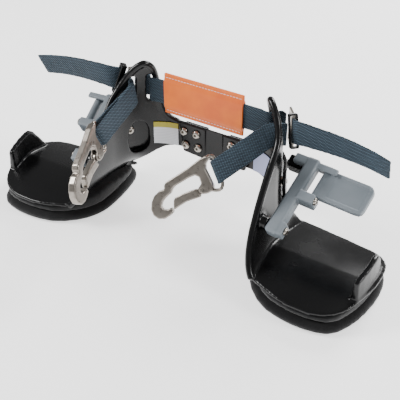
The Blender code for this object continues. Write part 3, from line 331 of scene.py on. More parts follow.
def plate_grid(depth, rows=90, columns=24):
    """Points of the plate at a depth below its upper face, in rows along X between its two edges."""
    outline = smooth_run(plate_outline(), 300, closed=True)
    low, high = min(y for x, y in outline), max(y for x, y in outline)
    grid = []
    for k in range(rows):
        y = low + (high - low) * (k + 0.5) / rows
        edges = [x0 + (x1 - x0) * (y - y0) / (y1 - y0)
                 for (x0, y0), (x1, y1) in zip(outline, outline[1:] + outline[:1]) if (y0 <= y) != (y1 <= y)]
        start, end = min(edges), max(edges)
        grid.append([Vector((start + (end - start) * c / (columns - 1), y, plate_top(y) - depth))
                     for c in range(columns)])
    return grid


def fin_grid(outward):
    heights = ((FIN_FRONT_Y, 0.86), (-19 * MM, 0.93), (-12 * MM, 0.98), (-3 * MM, 1.03), (6 * MM, 1.1),
               (11 * MM, 1.12), (15 * MM, 1.0), (18 * MM, 0.8), (23 * MM, 0.5), (FIN_BACK_Y, 0.16))
    rows = 5
    grid = []
    for r in range(rows):
        f = r / (rows - 1)
        row = []
        for y, share in heights:
            bow = 3.5 * MM * (1 - ((y - 7 * MM) / (27 * MM)) ** 2)
            foot = 1.5 * MM * (1 - f) ** 2 * (1 if outward > 0 else -1)
            x = PLATE_OUTER_X - 9.5 * MM + bow + outward + foot
            low = plate_top(y) - PLATE_THICK / 2
            row.append(Vector((x, y, low + (FIN_RISE * share) * f)))
        grid.append(row)
    return grid


def oval(centre, half_a, half_b, count=24, power=2.4):
    pts = []
    for k in range(count):
        t = k * math.tau / count
        c, s = math.cos(t), math.sin(t)
        pts.append((centre[0] + math.copysign(abs(c) ** (2 / power), c) * half_a,
                    centre[1] + math.copysign(abs(s) ** (2 / power), s) * half_b))
    return pts


def wall_frame(angle, z, outward=0.0):
    """Drawing frame on the wall: first axis level along the wall, second up, third outward."""
    station = station_at_angle(angle)
    out = plan(station)[1]
    forward = Vector((out.y, -out.x, 0))
    return frame_of(wall_point(station, z, outward), forward, (0, 0, 1))


def slot_cutter(angle):
    frame = wall_frame(angle, SLOT_Z)
    half_w, half_h = SLOT_WIDTH / 2, WEB_WIDTH / 2 + SLOT_SPARE
    return prism(oval((0, 0), half_w, half_h, 20, 5), frame, -12 * MM, 12 * MM)


# ---------------------------------------------------------------- colours and materials

def linear(code):
    """Scene colour of an sRGB hex code."""
    parts = [int(code[k:k + 2], 16) / 255 for k in (1, 3, 5)]
    return tuple(c / 12.92 if c <= 0.04045 else ((c + 0.055) / 1.055) ** 2.4 for c in parts)


def node(tree, kind, links=(), **settings):
    """Node with its settings and the (socket, value or output) pairs that feed it."""
    made = tree.nodes.new(kind)
    for key, value in settings.items():
        setattr(made, key, value)
    for socket, source in links:
        if isinstance(source, bpy.types.NodeSocket):
            tree.links.new(source, made.inputs[socket])
        else:
            made.inputs[socket].default_value = source
    return made


def material(name, colour, roughness, metallic=0.0, **sockets):
    """Principled material, its node tree and its shader."""
    mat = bpy.data.materials.new(name)
    mat.use_nodes = True
    shader = mat.node_tree.nodes["Principled BSDF"]
    shader.inputs["Base Color"].default_value = (*colour, 1)
    shader.inputs["Roughness"].default_value = roughness
    shader.inputs["Metallic"].default_value = metallic
    for label, value in sockets.items():
        shader.inputs[label.replace("_", " ")].default_value = value
    mat.diffuse_color = (*colour, 1)
    return mat, mat.node_tree, shader


def object_point(tree):
    return tree.nodes.new("ShaderNodeTexCoord").outputs["Object"]


def feature_scale(size):
    """Texture scale, in features to the metre, for a feature of this size."""
    return 1 / size


def mixed(tree, factor, first, second):
    mix = node(tree, "ShaderNodeMix", data_type="RGBA", clamp_factor=True)
    for socket, source in ((0, factor), (6, first), (7, second)):
        if isinstance(source, bpy.types.NodeSocket):
            tree.links.new(source, mix.inputs[socket])
        else:
            mix.inputs[socket].default_value = source if socket == 0 else (*source, 1)
    return mix.outputs[2]


def ramped(tree, source, low, high, out_low=0.0, out_high=1.0):
    return node(tree, "ShaderNodeMapRange", [("Value", source), ("From Min", low), ("From Max", high),
                                             ("To Min", out_low), ("To Max", out_high)]).outputs["Result"]


def raise_surface(tree, shader, height, distance, strength=1.0):
    bump = node(tree, "ShaderNodeBump", [("Strength", strength), ("Distance", distance), ("Height", height)])
    tree.links.new(bump.outputs["Normal"], shader.inputs["Normal"])
    return bump


def moulded_black_nylon():
    """Glass-filled nylon, injection moulded: near-black, satin, a fine spark-eroded grain and a few rubs."""
    mat, tree, shader = material("moulded_black_nylon", look().shell_colour, 0.25,
                                 Specular_IOR_Level=0.3)
    point = object_point(tree)
    grain = node(tree, "ShaderNodeTexNoise", [("Vector", point), ("Scale", feature_scale(0.7 * MM)),
                                              ("Detail", 3.0), ("Roughness", 0.6)])
    haze = node(tree, "ShaderNodeTexNoise", [("Vector", point),
                                             ("Scale", feature_scale(35 * MM)), ("Detail", 4.0)])
    stretched = node(tree, "ShaderNodeMapping", [("Vector", point), ("Scale", (0.35, 1.6, 1.0)),
                                                 ("Rotation", (0, 0, 0.3))])
    rubs = node(tree, "ShaderNodeTexNoise", [("Vector", stretched.outputs[0]),
                                             ("Scale", feature_scale(9 * MM)),
                                             ("Detail", 6.0), ("Roughness", 0.75), ("Distortion", 0.6)])
    rubbed = ramped(tree, rubs.outputs["Fac"], 0.66, 0.78)
    base = mixed(tree, haze.outputs["Fac"], linear("#050506"), linear("#0d0d0e"))
    colour = mixed(tree, rubbed, linear("#0a0a0b"), linear("#26262a"))
    tree.links.new(mixed(tree, 0.5, base, colour), shader.inputs["Base Color"])
    tree.links.new(ramped(tree, haze.outputs["Fac"], 0.3, 0.7, 0.17, 0.3), shader.inputs["Roughness"])
    raise_surface(tree, shader, grain.outputs["Fac"], 0.03 * MM, 0.5)
    return mat


def faced_foam_black():
    """Closed-cell foam under a knitted face cloth: matt black with a soft sheen and a fine knit."""
    mat, tree, shader = material("faced_foam_black", linear("#0d0d0e"), 0.92, Sheen_Weight=0.25,
                                 Sheen_Roughness=0.5, Specular_IOR_Level=0.2)
    point = object_point(tree)
    knit = node(tree, "ShaderNodeTexVoronoi", [("Vector", point), ("Scale", feature_scale(1.1 * MM))])
    fluff = node(tree, "ShaderNodeTexNoise", [("Vector", point),
                                              ("Scale", feature_scale(12 * MM)), ("Detail", 5.0)])
    tone = mixed(tree, fluff.outputs["Fac"], linear("#070708"), linear("#1a1a1b"))
    tree.links.new(tone, shader.inputs["Base Color"])
    raise_surface(tree, shader, knit.outputs["Distance"], 0.25 * MM, 0.6)
    return mat


def woven_webbing(name, ground, thread, sheen=0.04):
    """Polyester webbing, plain woven: round paler threads over a dark ground, laid along the strap."""
    mat, tree, shader = material(name, linear(ground), 0.75, Sheen_Weight=sheen, Sheen_Roughness=0.4,
                                 Specular_IOR_Level=0.3)
    along = node(tree, "ShaderNodeUVMap", uv_map="weave")
    parts = node(tree, "ShaderNodeSeparateXYZ", [("Vector", along.outputs[0])])
    pitch_u, pitch_v = 1.9 * MM, 1.7 * MM

    def wave(axis, pitch, shift=0.0):
        turned_by = node(tree, "ShaderNodeMath", [(0, parts.outputs[axis]), (1, math.tau / pitch),
                                                  (2, shift)],
                         operation="MULTIPLY_ADD")
        return node(tree, "ShaderNodeMath", [(0, turned_by.outputs[0])], operation="SINE").outputs[0]

    crossing = node(tree, "ShaderNodeMath", [(0, wave("X", pitch_u)), (1, wave("Y", pitch_v))],
                    operation="MULTIPLY")
    picks = ramped(tree, crossing.outputs[0], 0.05, 0.75)
    ribs = ramped(tree, wave("Y", pitch_v * 2, 0.7), -1, 1, 0.55, 1.0)
    weave = node(tree, "ShaderNodeMath", [(0, picks), (1, ribs)], operation="MULTIPLY")
    dirt = node(tree, "ShaderNodeTexNoise", [("Vector", object_point(tree)),
                                             ("Scale", feature_scale(18 * MM)),
                                             ("Detail", 4.0)])
    shade = mixed(tree, dirt.outputs["Fac"], linear(ground), linear(thread))
    tone = mixed(tree, weave.outputs[0], linear(ground), linear(thread))
    tree.links.new(mixed(tree, 0.12, tone, shade), shader.inputs["Base Color"])
    raise_surface(tree, shader, weave.outputs[0], 0.35 * MM, 0.8)
    return mat


def coated_sleeve_cloth():
    """Nylon cloth with a coloured coating, cut and sewn: bright orange, faint weave, slightly creased, with
    painted shade in the crease hollows and painted light on their crests.
    """
    mat, tree, shader = material("coated_sleeve_cloth", linear("#ea6a00"), 0.6, Sheen_Weight=0.15,
                                 Coat_Weight=0.08, Coat_Roughness=0.4)
    point = object_point(tree)
    weave = node(tree, "ShaderNodeTexVoronoi", [("Vector", point), ("Scale", feature_scale(0.8 * MM))])
    crease = node(tree, "ShaderNodeTexNoise", [("Vector", point),
                                               ("Scale", feature_scale(22 * MM)), ("Detail", 3.0)])
    # Painted shade and light on the folds: the orange is darker in the crease hollows and paler on their
    # crests, from the same noise as the fold bump.
    tone = mixed(tree, ramped(tree, crease.outputs["Fac"], 0.35, 0.65), linear("#e06000"), linear("#f07400"))
    tree.links.new(tone, shader.inputs["Base Color"])
    bump = raise_surface(tree, shader, weave.outputs["Distance"], 0.06 * MM, 0.4)
    fold = node(tree, "ShaderNodeBump", [("Strength", 0.4), ("Distance", 0.7 * MM),
                                         ("Height", crease.outputs["Fac"])])
    tree.links.new(fold.outputs["Normal"], bump.inputs["Normal"])
    return mat


def cast_stainless():
    """Investment-cast stainless steel, tumbled: warm grey, satin, softly pitted."""
    mat, tree, shader = material("cast_stainless", linear("#948d86"), 0.3, 1.0)
    point = object_point(tree)
    pits = node(tree, "ShaderNodeTexNoise", [("Vector", point),
                                             ("Scale", feature_scale(2.5 * MM)), ("Detail", 3.0)])
    patches = node(tree, "ShaderNodeTexNoise", [("Vector", point),
                                                ("Scale", feature_scale(9 * MM)), ("Detail", 3.0)])
    tone = mixed(tree, patches.outputs["Fac"], linear("#7a746d"), linear("#a39c94"))
    tree.links.new(tone, shader.inputs["Base Color"])
    tree.links.new(ramped(tree, pits.outputs["Fac"], 0.3, 0.7, 0.26, 0.38), shader.inputs["Roughness"])
    raise_surface(tree, shader, pits.outputs["Fac"], 0.03 * MM, 0.25)
    return mat


def turned_steel(name="turned_screw_steel", colour="#a8a29a", roughness=0.24):
    """Stainless screw stock, turned and rolled: bright, slightly warm, faint tool rings."""
    mat, tree, shader = material(name, linear(colour), roughness, 1.0)
    rings = node(tree, "ShaderNodeTexNoise", [("Vector", object_point(tree)),
                                              ("Scale", feature_scale(0.9 * MM)),
                                              ("Detail", 4.0)])
    tree.links.new(ramped(tree, rings.outputs["Fac"], 0.3, 0.7, roughness - 0.06, roughness + 0.14),
                   shader.inputs["Roughness"])
    raise_surface(tree, shader, rings.outputs["Fac"], 0.01 * MM, 0.2)
    return mat


def moulded_grey_nylon():
    """Blue-grey nylon, injection moulded: satin with a fine mould texture and slightly paler edges."""
    mat, tree, shader = material("moulded_grey_nylon", linear("#737b82"), 0.42)
    point = object_point(tree)
    grain = node(tree, "ShaderNodeTexNoise", [("Vector", point),
                                              ("Scale", feature_scale(0.5 * MM)), ("Detail", 3.0)])
    cloud = node(tree, "ShaderNodeTexNoise", [("Vector", point),
                                              ("Scale", feature_scale(16 * MM)), ("Detail", 3.0)])
    tone = mixed(tree, cloud.outputs["Fac"], linear("#6b7379"), linear("#7d858c"))
    edges = node(tree, "ShaderNodeNewGeometry")
    # Paler on the sharp convex edges, where Pointiness is high.
    edge_paling = ramped(tree, edges.outputs["Pointiness"], 0.52, 0.6, 0, 0.35)
    tree.links.new(mixed(tree, edge_paling, tone, linear("#a3aab0")), shader.inputs["Base Color"])
    tree.links.new(ramped(tree, cloud.outputs["Fac"], 0.3, 0.7, 0.36, 0.5), shader.inputs["Roughness"])
    raise_surface(tree, shader, grain.outputs["Fac"], 0.03 * MM, 0.4)
    return mat


def label_film(name, ground, band=None, band_from=0.0):
    """Printed vinyl film: pale ground with faint ruled lines, and a coloured band along its top."""
    mat, tree, shader = material(name, linear(ground), 0.45)
    height = node(tree, "ShaderNodeSeparateXYZ", [("Vector", object_point(tree))]).outputs["Z"]
    line = node(tree, "ShaderNodeMath", [(0, height), (1, math.tau / (1.7 * MM))], operation="MULTIPLY")
    ruled = node(tree, "ShaderNodeMath", [(0, line.outputs[0])], operation="SINE")
    faint = ramped(tree, ruled.outputs[0], 0.2, 0.9, 0, 0.35)
    tone = mixed(tree, faint, linear(ground), linear("#8f9298"))
    if band:
        above = ramped(tree, height, band_from - 0.1 * MM, band_from + 0.1 * MM)
        tone = mixed(tree, above, tone, linear(band))
    tree.links.new(tone, shader.inputs["Base Color"])
    return mat


def sewing_thread(colour):
    """Bonded polyester thread, twisted: small, round and slightly glossy."""
    mat, tree, shader = material("sewing_thread", linear(colour), 0.55, Sheen_Weight=0.2)
    twist = node(tree, "ShaderNodeTexNoise", [("Vector", object_point(tree)),
                                              ("Scale", feature_scale(0.5 * MM))])
    raise_surface(tree, shader, twist.outputs["Fac"], 0.05 * MM, 0.5)
    return mat


# ---------------------------------------------------------------- pieces

def look():
    return bpy.context.scene.restraint_look


def link(name, mesh):
    ob = bpy.data.objects.new(name, mesh)
    bpy.context.collection.objects.link(ob)
    return ob


def object_of(name, bm, side=RIGHT):
    """Object from geometry drawn for the right-hand shell, mirrored for the left, faces outward."""
    for vert in bm.verts:
        vert.co = Vector((vert.co.x * side, vert.co.y, vert.co.z))
    bm.normal_update()
    bmesh.ops.recalc_face_normals(bm, faces=bm.faces)
    mesh = bpy.data.meshes.new(name)
    bm.to_mesh(mesh)
    bm.free()
    return link(name, mesh)


def settle(ob, smooth=True):
    """Applies every modifier, so that what is left is a plain mesh."""
    bpy.context.view_layer.update()
    made = bpy.data.meshes.new_from_object(ob.evaluated_get(bpy.context.evaluated_depsgraph_get()))
    ob.modifiers.clear()
    ob.data = made
    made.name = ob.name
    made.polygons.foreach_set("use_smooth", [smooth] * len(made.polygons))
    return ob


def drop(*obs):
    for ob in obs:
        bpy.data.objects.remove(ob, do_unlink=True)


def combine(ob, other, operation, solver="EXACT"):
    mod = ob.modifiers.new(operation.lower(), "BOOLEAN")
    mod.operation = operation
    mod.solver = solver
    mod.object = other
    settle(ob)
    drop(other)


def join_loose(target, *others):
    """Adds the others' meshes to the target's as they stand; a remesh then fuses them."""
    bm = bmesh.new()
    bm.from_mesh(target.data)
    for other in others:
        bm.from_mesh(other.data)
    bm.to_mesh(target.data)
    bm.free()
    drop(*others)


def fuse(ob, grain, passes, strength=0.5):
    """Remeshes at the given grain and rounds the edges, as a mould or a tumbler leaves them."""
    mod = ob.modifiers.new("remesh", "REMESH")
    mod.mode = "VOXEL"
    mod.voxel_size = grain
    mod.use_smooth_shade = True
    if passes:
        soft = ob.modifiers.new("round", "SMOOTH")
        soft.factor = strength
        soft.iterations = passes
    return settle(ob)


def copy_of(name, label):
    """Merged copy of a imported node."""
    bm = bmesh.new()
    bm.from_mesh(frame["nodes"][name].data)
    bmesh.ops.remove_doubles(bm, verts=bm.verts, dist=0.002 * MM)
    mesh = bpy.data.meshes.new(label)
    bm.to_mesh(mesh)
    bm.free()
    return link(label, mesh)


def finish_piece(ob, mat, body, slot, *nodes):
    ob.data.materials.clear()
    ob.data.materials.append(mat)
    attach(ob, body)
    if nodes:
        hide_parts(*nodes)
    return ob


def lay_weave(ob):
    """Strap coordinates in metres on UV map "weave": along the strap, then across it."""
    mesh = ob.data
    count = len(mesh.vertices)
    centre = sum((v.co for v in mesh.vertices), Vector()) / count
    spread = Matrix(((0, 0, 0), (0, 0, 0), (0, 0, 0)))
    for v in mesh.vertices:
        d = v.co - centre
        for i in range(3):
            for j in range(3):
                spread[i][j] += d[i] * d[j]
    along = main_direction(spread)
    rest = spread.copy()
    weight = along.dot(spread @ along)
    for i in range(3):
        for j in range(3):
            rest[i][j] -= weight * along[i] * along[j]
    across = main_direction(rest)
    layer = mesh.uv_layers.new(name="weave")
    for loop in mesh.loops:
        d = mesh.vertices[loop.vertex_index].co - centre
        layer.data[loop.index].uv = (d.dot(along), d.dot(across))


def main_direction(spread):
    way = Vector((0.7, 0.5, 0.3))
    for _ in range(60):
        way = (spread @ way).normalized()
    return way


def repeat_shape(name, places, facings, shape, mat, spin_step=0.7):
    """Geometry Nodes: one copy of a shape at each place, its Z axis along the facing."""
    mesh = bpy.data.meshes.new(name)
    mesh.from_pydata([tuple(p) for p in places], [], [])
    facing = mesh.attributes.new("facing", "FLOAT_VECTOR", "POINT")
    facing.data.foreach_set("vector", [c for f in facings for c in f])
    spin = mesh.attributes.new("spin", "FLOAT", "POINT")
    spin.data.foreach_set("value", [spin_step * k for k in range(len(places))])
    ob = link(name, mesh)
    tree = bpy.data.node_groups.new(name + "_repeat", "GeometryNodeTree")
    tree.is_modifier = True
    tree.interface.new_socket("Geometry", in_out="INPUT", socket_type="NodeSocketGeometry")
    shape_in = tree.interface.new_socket("Shape", in_out="INPUT", socket_type="NodeSocketObject")
    size_in = tree.interface.new_socket("Size", in_out="INPUT", socket_type="NodeSocketFloat")
    finish_in = tree.interface.new_socket("Finish", in_out="INPUT", socket_type="NodeSocketMaterial")
    tree.interface.new_socket("Geometry", in_out="OUTPUT", socket_type="NodeSocketGeometry")
    source = tree.nodes.new("NodeGroupInput")
    way = node(tree, "GeometryNodeInputNamedAttribute", [("Name", "facing")], data_type="FLOAT_VECTOR")
    turn = node(tree, "GeometryNodeInputNamedAttribute", [("Name", "spin")], data_type="FLOAT")
    aligned = node(tree, "FunctionNodeAlignRotationToVector", [("Vector", way.outputs["Attribute"])],
                   axis="Z")
    spun = node(tree, "FunctionNodeAxisAngleToRotation", [("Axis", (0, 0, 1)),
                                                          ("Angle", turn.outputs["Attribute"])])
    both = node(tree, "FunctionNodeRotateRotation", [("Rotation", aligned.outputs[0]),
                                                     ("Rotate By", spun.outputs[0])], rotation_space="LOCAL")
    info = node(tree, "GeometryNodeObjectInfo", [("Object", source.outputs["Shape"])])
    placed = node(tree, "GeometryNodeInstanceOnPoints", [("Points", source.outputs["Geometry"]),
                                                         ("Instance", info.outputs["Geometry"]),
                                                         ("Rotation", both.outputs[0]),
                                                         ("Scale", source.outputs["Size"])])
    real = node(tree, "GeometryNodeRealizeInstances", [("Geometry", placed.outputs[0])])
    painted = node(tree, "GeometryNodeSetMaterial", [("Geometry", real.outputs[0]),
                                                     ("Material", source.outputs["Finish"])])
    node(tree, "NodeGroupOutput", [("Geometry", painted.outputs[0])])
    mod = ob.modifiers.new("repeat", "NODES")
    mod.node_group = tree
    mod[shape_in.identifier] = shape
    mod[size_in.identifier] = 1.0
    mod[finish_in.identifier] = mat
    return settle(ob)


# ---------------------------------------------------------------- shells

SHIFT = Vector((0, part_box("rear_bridge")[1][1] - (WALL_BACK_Y - WALL_THICK / 2 - 0.7 * MM), 0))


def moved(bm):
    for vert in bm.verts:
        vert.co += SHIFT
    return bm


def piece(name, bm, side):
    return object_of(name, moved(bm), side)


def shell_piece(side):
    """One moulding: collar wall with its rolled edge, shoulder plate, belt fin and pivot boss."""
    name = SIDE_NAMES[side] + "_moulded_shell"
    profile = smooth_run(wall_profile(), 150)
    faces = [wall_grid(profile, offset, 36) for offset in (WALL_THICK / 2, -WALL_THICK / 2)]
    wall = piece(name, skin(*faces), side)
    cutters = [slot_cutter(HOOK_SLOT_ANGLE), slot_cutter(TETHER_SLOT_ANGLE),
               prism(oval((0, 0), *OVAL_HALF, 48), wall_frame(OVAL_ANGLE, OVAL_Z), -9 * MM, 9 * MM)]
    for x, z in BRIDGE_SCREWS:
        cutters.append(rod((x, WALL_BACK_Y - 9 * MM, z), (x, WALL_BACK_Y + 9 * MM, z), 2.3 * MM, 24))
    for k, cutter in enumerate(cutters):
        combine(wall, piece("cutter%d" % k, cutter, side), "DIFFERENCE")
    plate = piece("plate", skin(plate_grid(0), plate_grid(PLATE_THICK)), side)
    fin = piece("fin", skin(fin_grid(FIN_THICK / 2), fin_grid(-FIN_THICK / 2)), side)
    bead_end = station_at_angle(math.asin((BRIDGE_HALF + 3 * MM - CORNER_FROM) / WALL_CORNER))
    edge = [wall_point(s, high - BEAD_RADIUS * 0.4) for s, low, high in profile if s > bead_end]
    bead = piece("bead", tube(edge, BEAD_RADIUS, 20), side)
    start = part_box(SIDE_NAMES[side] + "_arm_pivot_screw")
    pivot_y, pivot_z = (start[0][1] + start[1][1]) / 2, (start[0][2] + start[1][2]) / 2
    axis = Vector((math.cos(ARM_SPLAY), -math.sin(ARM_SPLAY), 0))
    middle = Vector(((abs(start[0][0]) + abs(start[1][0])) / 2, pivot_y, pivot_z))
    inner = middle + axis * (WALL_HALF_WIDTH + 1 * MM - middle.x)
    outer = middle + axis * (ARM_INNER_X - 0.4 * MM - middle.x)
    boss = object_of("boss", rod(inner, outer, 6.4 * MM, 40, 5.5 * MM), side)
    ob = wall
    join_loose(ob, plate, fin, bead, boss)
    fuse(ob, look().shell_grain, look().shell_rounding)
    return ob


class RESTRAINT_OT_shells(bpy.types.Operator):
    """Moulded shells with rolled edges, slots and belt fins"""
    bl_idname = "restraint.shells"
    bl_label = "Moulded shells"

    def execute(self, context):
        mat = moulded_black_nylon()
        for side in (RIGHT, LEFT):
            finish_piece(shell_piece(side), mat, "frame", "black_nylon", SIDE_NAMES[side] + "_shell")
        for name in ("rear_bridge", "right_keeper", "left_keeper", "right_latch_catch", "left_latch_catch"):
            ob = fuse(copy_of(name, name + "_moulded"), 0.6 * MM, 3)
            finish_piece(ob, mat, "frame", "black_nylon", name)
        return {"FINISHED"}


# ---------------------------------------------------------------- pads

class RESTRAINT_OT_pads(bpy.types.Operator):
    """Two-layer foam pads under the shells"""
    bl_idname = "restraint.pads"
    bl_label = "Foam pads"

    def execute(self, context):
        mat = faced_foam_black()
        for side in SIDE_NAMES.values():
            for layer, grain in (("foam_lower", 1.6 * MM), ("foam_upper", 1.6 * MM)):
                name = side + "_" + layer
                ob = fuse(copy_of(name, name + "_padded"), grain, 6)
                low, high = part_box(name)
                plump(ob, low, high)
                finish_piece(ob, mat, "frame", "black_foam", name)
            patch = side + "_pad_fastener"
            ob = fuse(copy_of(patch, patch + "_cloth"), 0.5 * MM, 1)
            finish_piece(ob, mat, "frame", "black_fabric", patch)
        return {"FINISHED"}


def plump(ob, low, high):
    """Foam's cut edge: it bulges a little between the faces that are sewn to it."""
    middle = Vector(((low[0] + high[0]) / 2, (low[1] + high[1]) / 2, 0))
    tall = high[2] - low[2]
    for vert in ob.data.vertices:
        share = (vert.co.z - low[2]) / tall
        away = Vector((vert.co.x, vert.co.y, 0)) - middle
        reach = away.length / (Vector((high[0] - low[0], high[1] - low[1], 0)).length / 2)
        swell = look().pad_swell * math.sin(math.pi * min(max(share, 0), 1)) * min(1, max(0, reach - 0.4) * 3)
        vert.co += away.normalized() * swell


# ---------------------------------------------------------------- webbing and sleeve

class RESTRAINT_OT_webbing(bpy.types.Operator):
    """Woven tether, tails and hook straps"""
    bl_idname = "restraint.webbing"
    bl_label = "Webbing"

    def execute(self, context):
        mat = woven_webbing("navy_polyester_webbing", "#0b1219", "#667e90")
        for name in ("tether_web", "right_tail", "left_tail", "right_hook_strap", "left_hook_strap"):
            ob = fuse(copy_of(name, name + "_woven"), look().web_grain, 4)
            lay_weave(ob)
            finish_piece(ob, mat, "frame", "navy_webbing", name)
        return {"FINISHED"}


def sleeve_depth(away, share, half, web_half):
    """Half thickness of the sleeve, at a height away from its middle and a share of its length."""
    lift = 1 / (1 + math.exp((away - web_half - SLEEVE_EASE) / SLEEVE_FOLD))
    return half * (SLEEVE_FLAT + (1 - SLEEVE_FLAT) * lift) * (1 - SLEEVE_WAIST * math.sin(math.pi * share))


def sleeve_grid(outward, low, high, columns, rows, web_half):
    """One face of the sleeve: lifted over the webbing inside, flat along its two sewn edges."""
    grid = []
    middle_y = (low[1] + high[1]) / 2
    middle_z = (low[2] + high[2]) / 2
    half = (high[1] - low[1]) / 2
    for r in range(rows):
        z = low[2] + (high[2] - low[2]) * r / (rows - 1)
        row = []
        for c in range(columns):
            f = c / (columns - 1)
            x = low[0] + (high[0] - low[0]) * f
            depth = sleeve_depth(abs(z - middle_z), f, half, web_half)
            row.append(Vector((x, middle_y + outward * depth, z)))
        grid.append(row)
    return grid


class RESTRAINT_OT_sleeve(bpy.types.Operator):
    """Stitched sleeve that slides on the tether"""
    bl_idname = "restraint.sleeve"
    bl_label = "Stitched sleeve"

    def execute(self, context):
        low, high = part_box("sleeve")
        web_low, web_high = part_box("tether_web")
        web_half = (web_high[2] - web_low[2]) / 2
        columns, rows = 60, 60
        body = skin(sleeve_grid(-1, low, high, columns, rows, web_half),
                    sleeve_grid(1, low, high, columns, rows, web_half))
        ob = object_of("stitched_sleeve", body)
        bevel = ob.modifiers.new("edge", "BEVEL")
        bevel.width = 0.5 * MM
        bevel.segments = 3
        bevel.limit_method = "ANGLE"
        settle(ob)
        tunnel_low = Vector((low[0] - 5 * MM, (low[1] + high[1]) / 2 - 1.1 * MM, web_low[2] - 0.3 * MM))
        tunnel_high = Vector((high[0] + 5 * MM, (low[1] + high[1]) / 2 + 1.1 * MM, web_high[2] + 0.3 * MM))
        tunnel = bmesh.new()
        bmesh.ops.create_cube(tunnel, size=1, matrix=Matrix.Translation((tunnel_low + tunnel_high) / 2)
                              @ Matrix.Diagonal((*(tunnel_high - tunnel_low), 1)))
        combine(ob, object_of("tunnel", tunnel), "DIFFERENCE")
        finish_piece(ob, coated_sleeve_cloth(), "sleeve_body", "orange_sleeve", "sleeve")
        stitch = object_of("stitch_shape", tube([(-0.95 * MM, 0, -0.12 * MM), (-0.6 * MM, 0, 0.16 * MM),
                                                 (0.6 * MM, 0, 0.16 * MM), (0.95 * MM, 0, -0.12 * MM)],
                                                0.28 * MM, 6))
        places, facings = [], []
        pitch = look().stitch_pitch
        count = int((high[0] - low[0] - 2 * STITCH_START) / pitch)
        middle_y = (low[1] + high[1]) / 2
        half = (high[1] - low[1]) / 2
        for edge in (low[2] + look().stitch_inset, high[2] - look().stitch_inset):
            away = abs(edge - (low[2] + high[2]) / 2)
            for k in range(count + 1):
                along = STITCH_START + k * pitch
                depth = sleeve_depth(away, along / (high[0] - low[0]), half, web_half)
                for face in (-1, 1):
                    places.append((low[0] + along, middle_y + face * (depth + STITCH_PROUD), edge))
                    facings.append((0, face, 0))
        thread = repeat_shape("sleeve_stitches", places, facings, stitch, sewing_thread("#c2541a"), 0.0)
        finish_piece(thread, thread.data.materials[0], "sleeve_body", "orange_sleeve")
        drop(stitch)
        return {"FINISHED"}


# ---------------------------------------------------------------- screws

def button_head(radius, rise, socket, sides=32):
    """Button head with a hexagon socket; Z points out of the head, its seat at Z 0."""
    bm = bmesh.new()
    profile = [(0, radius * 0.98), (0.12, radius), (0.3, radius * 0.985), (0.55, radius * 0.9),
               (0.78, radius * 0.76), (0.92, radius * 0.62), (1.0, socket * 1.16)]
    rings = []
    for share, r in profile:
        rings.append([bm.verts.new((r * math.cos(k * math.tau / sides), r * math.sin(k * math.tau / sides),
                                    rise * share)) for k in range(sides)])

    def hex_radius(angle):
        turn = (angle % (math.pi / 3)) - math.pi / 6
        return socket * math.cos(math.pi / 6) / math.cos(turn)

    for share in (0.97, 0.25):
        rings.append([bm.verts.new((hex_radius(k * math.tau / sides) * math.cos(k * math.tau / sides),
                                    hex_radius(k * math.tau / sides) * math.sin(k * math.tau / sides),
                                    rise * share)) for k in range(sides)])
    for low, high in zip(rings, rings[1:]):
        for k in range(sides):
            m = (k + 1) % sides
            bm.faces.new((low[k], low[m], high[m], high[k]))
    bm.faces.new(rings[-1][::-1])
    bm.faces.new(rings[0])
    return bm


class RESTRAINT_OT_screws(bpy.types.Operator):
    """Button-head screws with hexagon sockets"""
    bl_idname = "restraint.screws"
    bl_label = "Screws"

    def execute(self, context):
        mat = turned_steel()
        axis = Vector((math.cos(ARM_SPLAY), -math.sin(ARM_SPLAY), 0))
        groups = {}
        for side, sign in (("right", RIGHT), ("left", LEFT)):
            out = Vector((axis.x * sign, axis.y, 0))
            for k in range(4):
                name = side + "_bridge_screw_" + str(k + 1)
                groups.setdefault("frame", []).append((name, Vector((0, -1, 0))))
            groups["frame"].append((side + "_arm_pivot_screw", out))
            groups.setdefault(side + "_arm", []).append((side + "_hinge_block_screw", out))
            angle = OVAL_ANGLE
            facing = -Vector((math.sin(angle) * sign, math.cos(angle), 0))
            groups["frame"].append((side + "_catch_screw", facing))
        for body, screws in groups.items():
            for name, way in screws:
                ob = screw_piece(name, way, mat)
                finish_piece(ob, mat, body, "screw_steel", name)
        for side in SIDE_NAMES.values():
            for name in (side + "_hook_gate_pin", side + "_paddle_pin", side + "_hook_gate_spring",
                         side + "_buckle"):
                paint(name, mat)
            paint(side + "_nut_plate", turned_steel("blacked_steel", "#1b1b1d", 0.45))
        return {"FINISHED"}


def paint(name, mat):
    mesh = frame["nodes"][name].data
    mesh.materials.clear()
    mesh.materials.append(mat)


